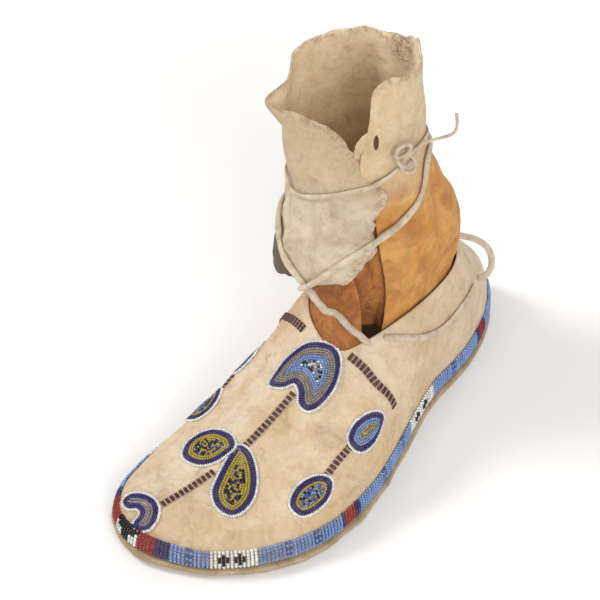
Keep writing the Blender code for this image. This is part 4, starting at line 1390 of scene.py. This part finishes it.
def band_colour(distance, row):
    """A bead's colour in the band, from the distance in mm and its row from the sole up."""
    total = band_length / MM
    chart, along = (OUTER_CHART, distance) if distance < total / 2 else (INNER_CHART, total - distance)
    block, share, width = block_at(chart, along)
    lane = LANE_PITCH / MM
    if block == "crosses":
        for centre in CROSS_PLACES:
            off = abs(share - centre) * width
            if (off < 0.5 * lane and 1 <= row <= 4) or (off < 1.5 * lane and 2 <= row <= 3):
                return BLACK
        return WHITE
    if block == "steps":
        off = abs(share - 0.5) * width
        if row >= 4 or off < 1.6 * lane or (row == 3 and off < 3.2 * lane):
            return BLACK
        return WHITE
    if block == "sky" and min(abs(along - streak) for streak in DARK_STREAKS) < lane and row % 2:
        return DARK_SKY
    return BLOCK_COLOURS[block]


print("blocks:", len(OUTER_CHART), "on the outer side,", len(INNER_CHART), "on the inner side")

# %% [markdown]
# Each lane starts on the outline and climbs: the next bead's place is one bead higher, dropped back on the
# hide. The string arches over the leather between its two ends. Lanes and beads differ a little in shade
# and size.

# %% sew the band
BAND_WIDTH = 1.56 * MM
BAND_STAND = 0.70 * MM
LANE_ARCH = 0.50 * MM


def climb(start, count):
    """Places going up the hide from a start, a bead apart, each with its direction and the hide's normal."""
    steps = []
    place = Vector(start)
    for k in range(count):
        hit, normal, _, _ = hide_tree.find_nearest(place)
        up = (Vector((0, 0, 1)) - normal * normal.z).normalized()
        hit = hit + up * (BAND_BEAD * (0.5 if k == 0 else 0.0))
        steps.append((np.array(hit), np.array(up), np.array(normal)))
        place = hit + up * BAND_BEAD
    return steps


def band_rows():
    """Every bead of the band."""
    rows = []
    for lane, start in enumerate(outline):
        distance = lane / len(outline) * band_length / MM
        lane_shade = 1.0 + random.uniform(-0.14, 0.10)
        slip = random.uniform(-0.25, 0.25) * MM
        for row, (place, up, normal) in enumerate(climb(start, LANE_BEADS)):
            stand = BAND_STAND + LANE_ARCH * np.sin(np.pi * (row + 0.5) / LANE_BEADS)
            colour = np.array(band_colour(distance, row)) * lane_shade * random.uniform(0.88, 1.10)
            length = BAND_BEAD * random.uniform(0.96, 1.04)
            width = BAND_WIDTH * random.uniform(0.94, 1.05)
            rows.append((place + normal * stand + up * slip, up, normal, length, width, colour))
    return rows


sewn_band = band_rows()
sew_beads("band_beads", sewn_band, band_glass, "bead_band")
print("band:", len(sewn_band), "beads")

# %% [markdown]
# Each motif has a smooth closed outline through a few points, which are shares of the motif's size. The
# second number runs towards the heel.

# %% motif outlines
HEART = (
    (-0.51, -0.27), (-0.53, 0.03), (-0.43, 0.27), (-0.27, 0.43), (0.03, 0.55), (0.20, 0.51), (0.36, 0.37),
    (0.46, 0.15), (0.46, -0.08), (0.41, -0.27), (0.31, -0.38), (0.16, -0.36), (0.05, -0.22), (-0.08, -0.16),
    (-0.20, -0.28), (-0.40, -0.33),
)
ROUND_LEAF = (
    (-0.38, -0.25), (-0.47, -0.03), (-0.40, 0.19), (-0.14, 0.34), (0.20, 0.34), (0.40, 0.22), (0.42, 0.08),
    (0.30, -0.20), (0.08, -0.37), (-0.22, -0.37),
)
LONG_LEAF = (
    (-0.44, 0.54), (-0.20, 0.57), (0.12, 0.35), (0.35, 0.04), (0.40, -0.26), (0.30, -0.47), (0.03, -0.50),
    (-0.22, -0.34), (-0.34, -0.05), (-0.42, 0.26),
)
CURL = (
    (-0.60, 0.04), (-0.47, 0.25), (-0.16, 0.36), (0.13, 0.35), (0.36, 0.20), (0.46, -0.07), (0.39, -0.31),
    (0.16, -0.42), (0.00, -0.32), (0.05, -0.08), (-0.08, 0.01), (-0.36, -0.06),
)
OVAL = (
    (0.02, 0.50), (-0.20, 0.37), (-0.31, 0.10), (-0.30, -0.20), (-0.16, -0.45), (0.05, -0.50), (0.25, -0.40),
    (0.34, -0.12), (0.33, 0.20), (0.20, 0.41),
)
SAMPLE = 0.25 * MM


def closed_curve(points, size, side):
    """A smooth closed curve through an outline's points, sampled evenly, with its inside on the left."""
    rows = np.array(points) * size * np.array([side, 1.0])
    before, after = np.roll(rows, 1, axis=0), np.roll(rows, -1, axis=0)
    after_next = np.roll(rows, -2, axis=0)
    pieces = []
    for q in np.linspace(0.0, 1.0, 24, endpoint=False):
        first, second = (after - before) / 2, (after_next - rows) / 2
        pieces.append(
            (2 * q**3 - 3 * q**2 + 1) * rows + (q**3 - 2 * q**2 + q) * first
            + (3 * q**2 - 2 * q**3) * after + (q**3 - q**2) * second
        )
    line = np.stack(pieces, axis=1).reshape(-1, 2)
    line = np.vstack([line, line[:1]])
    gone = distances_along(line)
    line = read_line(line, gone, np.arange(0.0, gone[-1], SAMPLE))
    ahead = np.roll(line, -1, axis=0)
    if np.sum(line[:, 0] * ahead[:, 1] - line[:, 1] * ahead[:, 0]) < 0:
        line = line[::-1]
    return line


print("outlines:", [len(points) for points in (HEART, ROUND_LEAF, LONG_LEAF, CURL, OVAL)], "points")

# %% [markdown]
# A motif is filled by rows that follow its outline, from the outside in, as the real ones are. A row is the
# outline moved inwards, and where it would cross itself it is trimmed, because every bead must stay its own
# distance in. A bead that would sit on another is left out.

# %% rows of beads
OUTLINE_GROWTH = 1.25 * MM
ROW_PITCH = 1.32 * MM
BEAD_PITCH = 1.22 * MM
MOST_ROWS = 30
BREAK = 1.6 * BEAD_PITCH
CROWDED = 0.72 * BEAD_PITCH


def beads_along(line, closed):
    """Places a bead's pitch apart along a line."""
    line = np.vstack([line, line[:1]]) if closed else line
    gone = distances_along(line)
    count = max(1, round(gone[-1] / BEAD_PITCH))
    return read_line(line, gone, (np.arange(count) + 0.5) / count * gone[-1])


def moved_in(outline, inward, depth):
    """The stretches of an outline moved inwards by a depth that stay that far in all along."""
    line = outline + inward * depth
    gaps = np.linalg.norm(line[:, None, :] - outline[None, :, :], axis=2).min(axis=1)
    kept = gaps > abs(depth) * 0.97
    if kept.sum() < 3:
        return []
    first = int(np.argmin(kept)) if not kept.all() else 0
    line = np.roll(line, -first, axis=0)[np.roll(kept, -first)]
    breaks = np.flatnonzero(np.linalg.norm(np.diff(line, axis=0), axis=1) > BREAK) + 1
    return np.split(line, breaks)


def motif_rows(outline):
    """The beads of a motif in its own plane: each row's places, from the outline in."""
    ahead = np.roll(outline, -1, axis=0) - np.roll(outline, 1, axis=0)
    inward = unit(np.stack([-ahead[:, 1], ahead[:, 0]], axis=1))
    sewn = np.zeros((0, 2))
    rows = []
    for k in range(MOST_ROWS):
        runs = moved_in(outline, inward, (k + 0.5) * ROW_PITCH - OUTLINE_GROWTH)
        if not runs:
            break
        for run in runs:
            if len(run) < 2:
                continue
            closed = np.linalg.norm(run[0] - run[-1]) < BREAK and len(run) > 8
            spots = beads_along(run, closed)
            ahead_of = np.gradient(spots, axis=0) if len(spots) > 1 else run[-1:] - run[:1]
            for spot, axis in zip(spots, ahead_of):
                if len(sewn) and np.linalg.norm(sewn - spot, axis=1).min() < CROWDED:
                    continue
                sewn = np.vstack([sewn, spot])
                rows.append((k, spot, axis if np.linalg.norm(axis) > 1e-6 else np.array([1.0, 0.0])))
    return rows


print("rows of beads", ROW_PITCH / MM, "mm apart")

# %% [markdown]
# A motif's colours go row by row from its edge to its middle. Past the last named row the beads are mixed,
# as in the checked hearts of the real flowers. The fixed seed gives the same mixture each time.

# %% sew the motifs
GREY_YELLOW = (0.40, 0.34, 0.22)
FLOWER = (WHITE, NAVY, NAVY, LAVENDER, GREY_YELLOW, LAVENDER, SKY, SKY)
LEAF = (WHITE, NAVY, NAVY, YELLOW, YELLOW)
TENDRIL = (WHITE, NAVY, NAVY, LAVENDER, GREY_YELLOW)
BLUE_BERRY = (WHITE, NAVY, NAVY, SKY, SKY)
GOLD_BERRY = (WHITE, NAVY, NAVY, YELLOW)
# Each motif: its name, its place as shares of the foot's width and length, its outline, size in mm, its side
# (-1 is mirrored), the colours of its rows, and the mixture inside them.
MOTIFS = (
    ("heart_motif", 0.092, -0.094, HEART, 35.2, 1, FLOWER, (BLACK, SKY, WHITE, BLACK, DARK_SKY, SKY)),
    ("leaf_motif_medial", -0.108, -0.284, ROUND_LEAF, 29.0, 1, LEAF, (NAVY, YELLOW, BLACK, YELLOW)),
    ("leaf_motif_lateral", 0.142, -0.318, LONG_LEAF, 29.0, 1, LEAF, (NAVY, YELLOW, BLACK, YELLOW)),
    ("toe_motif", -0.152, -0.461, CURL, 24.0, 1, TENDRIL, (LAVENDER, GREY_YELLOW)),
    ("oval_lateral_upper", 0.461, -0.084, OVAL, 23.5, 1, BLUE_BERRY, (LAVENDER, GREY_YELLOW, YELLOW)),
    ("oval_lateral_lower", 0.456, -0.246, OVAL, 23.5, 1, GOLD_BERRY, (SKY, BLACK, GREY_YELLOW, DARK_SKY)),
    ("oval_medial_upper", -0.343, -0.060, OVAL, 23.5, -1, BLUE_BERRY, (LAVENDER, GREY_YELLOW, YELLOW)),
    ("oval_medial_lower", -0.352, -0.188, OVAL, 23.5, -1, GOLD_BERRY, (SKY, BLACK, GREY_YELLOW, DARK_SKY)),
)
BALL_WIDTH = 97.0 * MM
FOOT_LENGTH = 250.0 * MM
REACH_OVER = 2.0 * MM
LOOK_AHEAD = 0.5 * MM
BEAD_STAND = 0.60


def plane_over(x, y):
    """A frame lying on the hide under a place, its second axis towards the heel."""
    place, normal, _, _ = hide_tree.ray_cast(Vector((x, y, 1.0)), Vector((0, 0, -1)))
    up = (Vector((0, 1, 0)) - normal * normal.y).normalized()
    turned = Matrix((up.cross(normal), up, normal)).transposed().to_4x4()
    turned.translation = place
    return turned


def onto_hide(plane, spot):
    """The place on the hide nearest to a spot just over a plane, and the hide's normal there."""
    hit, normal, _, _ = hide_tree.find_nearest(plane @ Vector((spot[0], spot[1], REACH_OVER)))
    return np.array(hit), np.array(normal)


sewn_places = [row[0] for row in sewn_band]


def crowded(place):
    """Whether a place on the hide is already taken by a bead."""
    return np.linalg.norm(np.array(sewn_places) - place, axis=1).min() < BEAD_PITCH * 0.9


def sew_motif(name, across, along, points, size, side, colours, mixture):
    """One motif in beads on the upper."""
    plane = plane_over(across * BALL_WIDTH, along * FOOT_LENGTH)
    rows = []
    for k, spot, axis in motif_rows(closed_curve(points, size * MM, side)):
        place, normal = onto_hide(plane, spot)
        if crowded(place):
            continue
        ahead, _ = onto_hide(plane, spot + axis / np.linalg.norm(axis) * LOOK_AHEAD)
        colour = colours[k] if k < len(colours) else mixture[random.integers(len(mixture))]
        colour = np.array(colour) * random.uniform(0.84, 1.10)
        place = place + normal * (BEAD_STAND + random.uniform(-0.05, 0.08)) * MM
        length = BEAD_PITCH * random.uniform(0.88, 0.99)
        width = ROW_PITCH * random.uniform(0.93, 1.03) * (1.14 if k == 0 else 1.0)
        rows.append((place, ahead - place + normal * BEAD_STAND * MM, normal, length, width, colour))
    sewn_places.extend(row[0] for row in rows)
    sew_beads(name + "_beads", rows, motif_glass, name)
    return len(rows)


print("motifs:", {row[0]: sew_motif(*row) for row in MOTIFS})

# %% [markdown]
# The stems between the flowers, and the two strips beside the throat, are narrow ladders. Two short strings
# of dark red beads lie across, then one of pale beads, and so on.

# %% sew the stems
STEM_WIDTH = 3.5 * MM
STRIP_WIDTH = 4.3 * MM
RUNG = 0.84 * MM
RUNG_COLOURS = (MAROON, MAROON, PALE)
RUNG_WIDTHS = (1.02, 1.02, 0.80)
RUNG_STANDS = (0.50, 0.50, 0.36)
RUNG_BEADS = 3
# Each stem: its name, and its route as shares of the foot's width and length.
STEMS = (
    ("stem_upper", ((0.090, -0.128), (0.073, -0.186), (0.048, -0.256))),
    ("stem_lower", ((0.006, -0.322), (-0.036, -0.378), (-0.084, -0.436))),
    ("oval_stem_lateral", ((0.452, -0.130), (0.452, -0.165), (0.454, -0.200))),
    ("oval_stem_medial", ((-0.338, -0.112), (-0.338, -0.128), (-0.338, -0.143))),
    ("throat_strip_lateral", ((0.212, -0.022), (0.300, -0.014), (0.375, -0.012), (0.452, 0.000))),
    ("throat_strip_medial", ((-0.085, -0.018), (-0.170, -0.004), (-0.250, 0.010), (-0.320, 0.026))),
)


def sew_stem(name, shares):
    """One ladder of beads along a route on the upper."""
    plan = np.array(shares) * np.array([BALL_WIDTH, FOOT_LENGTH])
    line = smooth_route(np.column_stack([plan, np.zeros(len(plan))]), 60)
    hits = [hide_tree.ray_cast(Vector((x, y, 1.0)), Vector((0, 0, -1))) for x, y, _ in line]
    middle = np.array([hit[0] for hit in hits])
    normals = np.array([hit[1] for hit in hits])
    gone = distances_along(middle)
    at = (np.arange(round(gone[-1] / RUNG)) + 0.5) * RUNG
    tables = (read_line(table, gone, at) for table in (middle, normals, np.gradient(middle, axis=0)))
    wide = STRIP_WIDTH if name.startswith("throat") else STEM_WIDTH
    rows = []
    for rung, (here, normal, axis) in enumerate(zip(*tables)):
        side = np.cross(axis, normal)
        side = side / np.linalg.norm(side)
        kind = rung % len(RUNG_COLOURS)
        for k in range(RUNG_BEADS):
            spot = here + side * wide * ((k + 0.5) / RUNG_BEADS - 0.5)
            hit, out, _, _ = hide_tree.find_nearest(Vector(spot))
            colour = np.array(RUNG_COLOURS[kind]) * random.uniform(0.75, 1.2)
            width = RUNG * RUNG_WIDTHS[kind] * random.uniform(0.94, 1.04)
            place = np.array(hit + out * (RUNG_STANDS[kind] * MM))
            rows.append((place, side, np.array(out), wide / RUNG_BEADS * 0.93, width, colour))
    sew_beads(name + "_beads", rows, stem_glass, name)
    return len(rows)


print("stems:", {name: sew_stem(name, shares) for name, shares in STEMS})

# %% [markdown]
# The boot stands on a plain pale floor. Two soft lights in front, one on each side and nearly as strong as
# each other, give the form. A weaker one behind lights the rim of the collar, and a pale world opens the
# shadows, like a light tent in a photographer's studio.

# %% floor and lights
FLOOR_DARK = (0.90, 0.90, 0.90)
FLOOR_LIGHT = (0.93, 0.93, 0.93)
WORLD_COLOUR = (1.0, 0.99, 0.97, 1.0)
WORLD_STRENGTH = 0.57
# Each light: its name, its place in metres, its size in metres, its power in watts and its colour.
LIGHTS = (
    ("key_light", (-1.3, -0.7, 1.5), 0.6, 20.0, (1.0, 0.985, 0.96)),
    ("fill_light", (1.5, -0.9, 1.1), 1.0, 19.5, (1.0, 0.99, 0.97)),
    ("back_light", (-0.3, 1.6, 1.5), 0.9, 8.0, (1.0, 1.0, 1.0)),
)


def studio_floor():
    """A wide pale floor with a faint tone of its own."""
    bpy.ops.mesh.primitive_plane_add(size=8.0)
    floor = bpy.context.object
    floor.name = "studio_floor"
    finish = Finish("studio_floor_paint", 0.95)
    tone = finish.between(finish.noise(0.9, 2.0), 0.3, 0.7)
    finish.feed("Base Color", finish.mix(tone, FLOOR_DARK, FLOOR_LIGHT))
    floor.data.materials.append(finish.material)


def soft_light(name, place, size, power, colour):
    """A square soft box that looks at the boot."""
    bpy.ops.object.light_add(type="AREA", location=place)
    light = bpy.context.object
    light.name = name
    light.rotation_euler = (Vector(place) - CAMERA_AIM).to_track_quat("Z", "Y").to_euler()
    light.data.size = size
    light.data.energy = power
    light.data.color = colour


studio_floor()
for row in LIGHTS:
    soft_light(*row)
world = bpy.data.worlds.new("studio")
world.use_nodes = True
world.node_tree.nodes["Background"].inputs["Color"].default_value = WORLD_COLOUR
world.node_tree.nodes["Background"].inputs["Strength"].default_value = WORLD_STRENGTH
bpy.context.scene.world = world
bpy.context.scene.view_settings.view_transform = "Standard"

# %% [markdown]
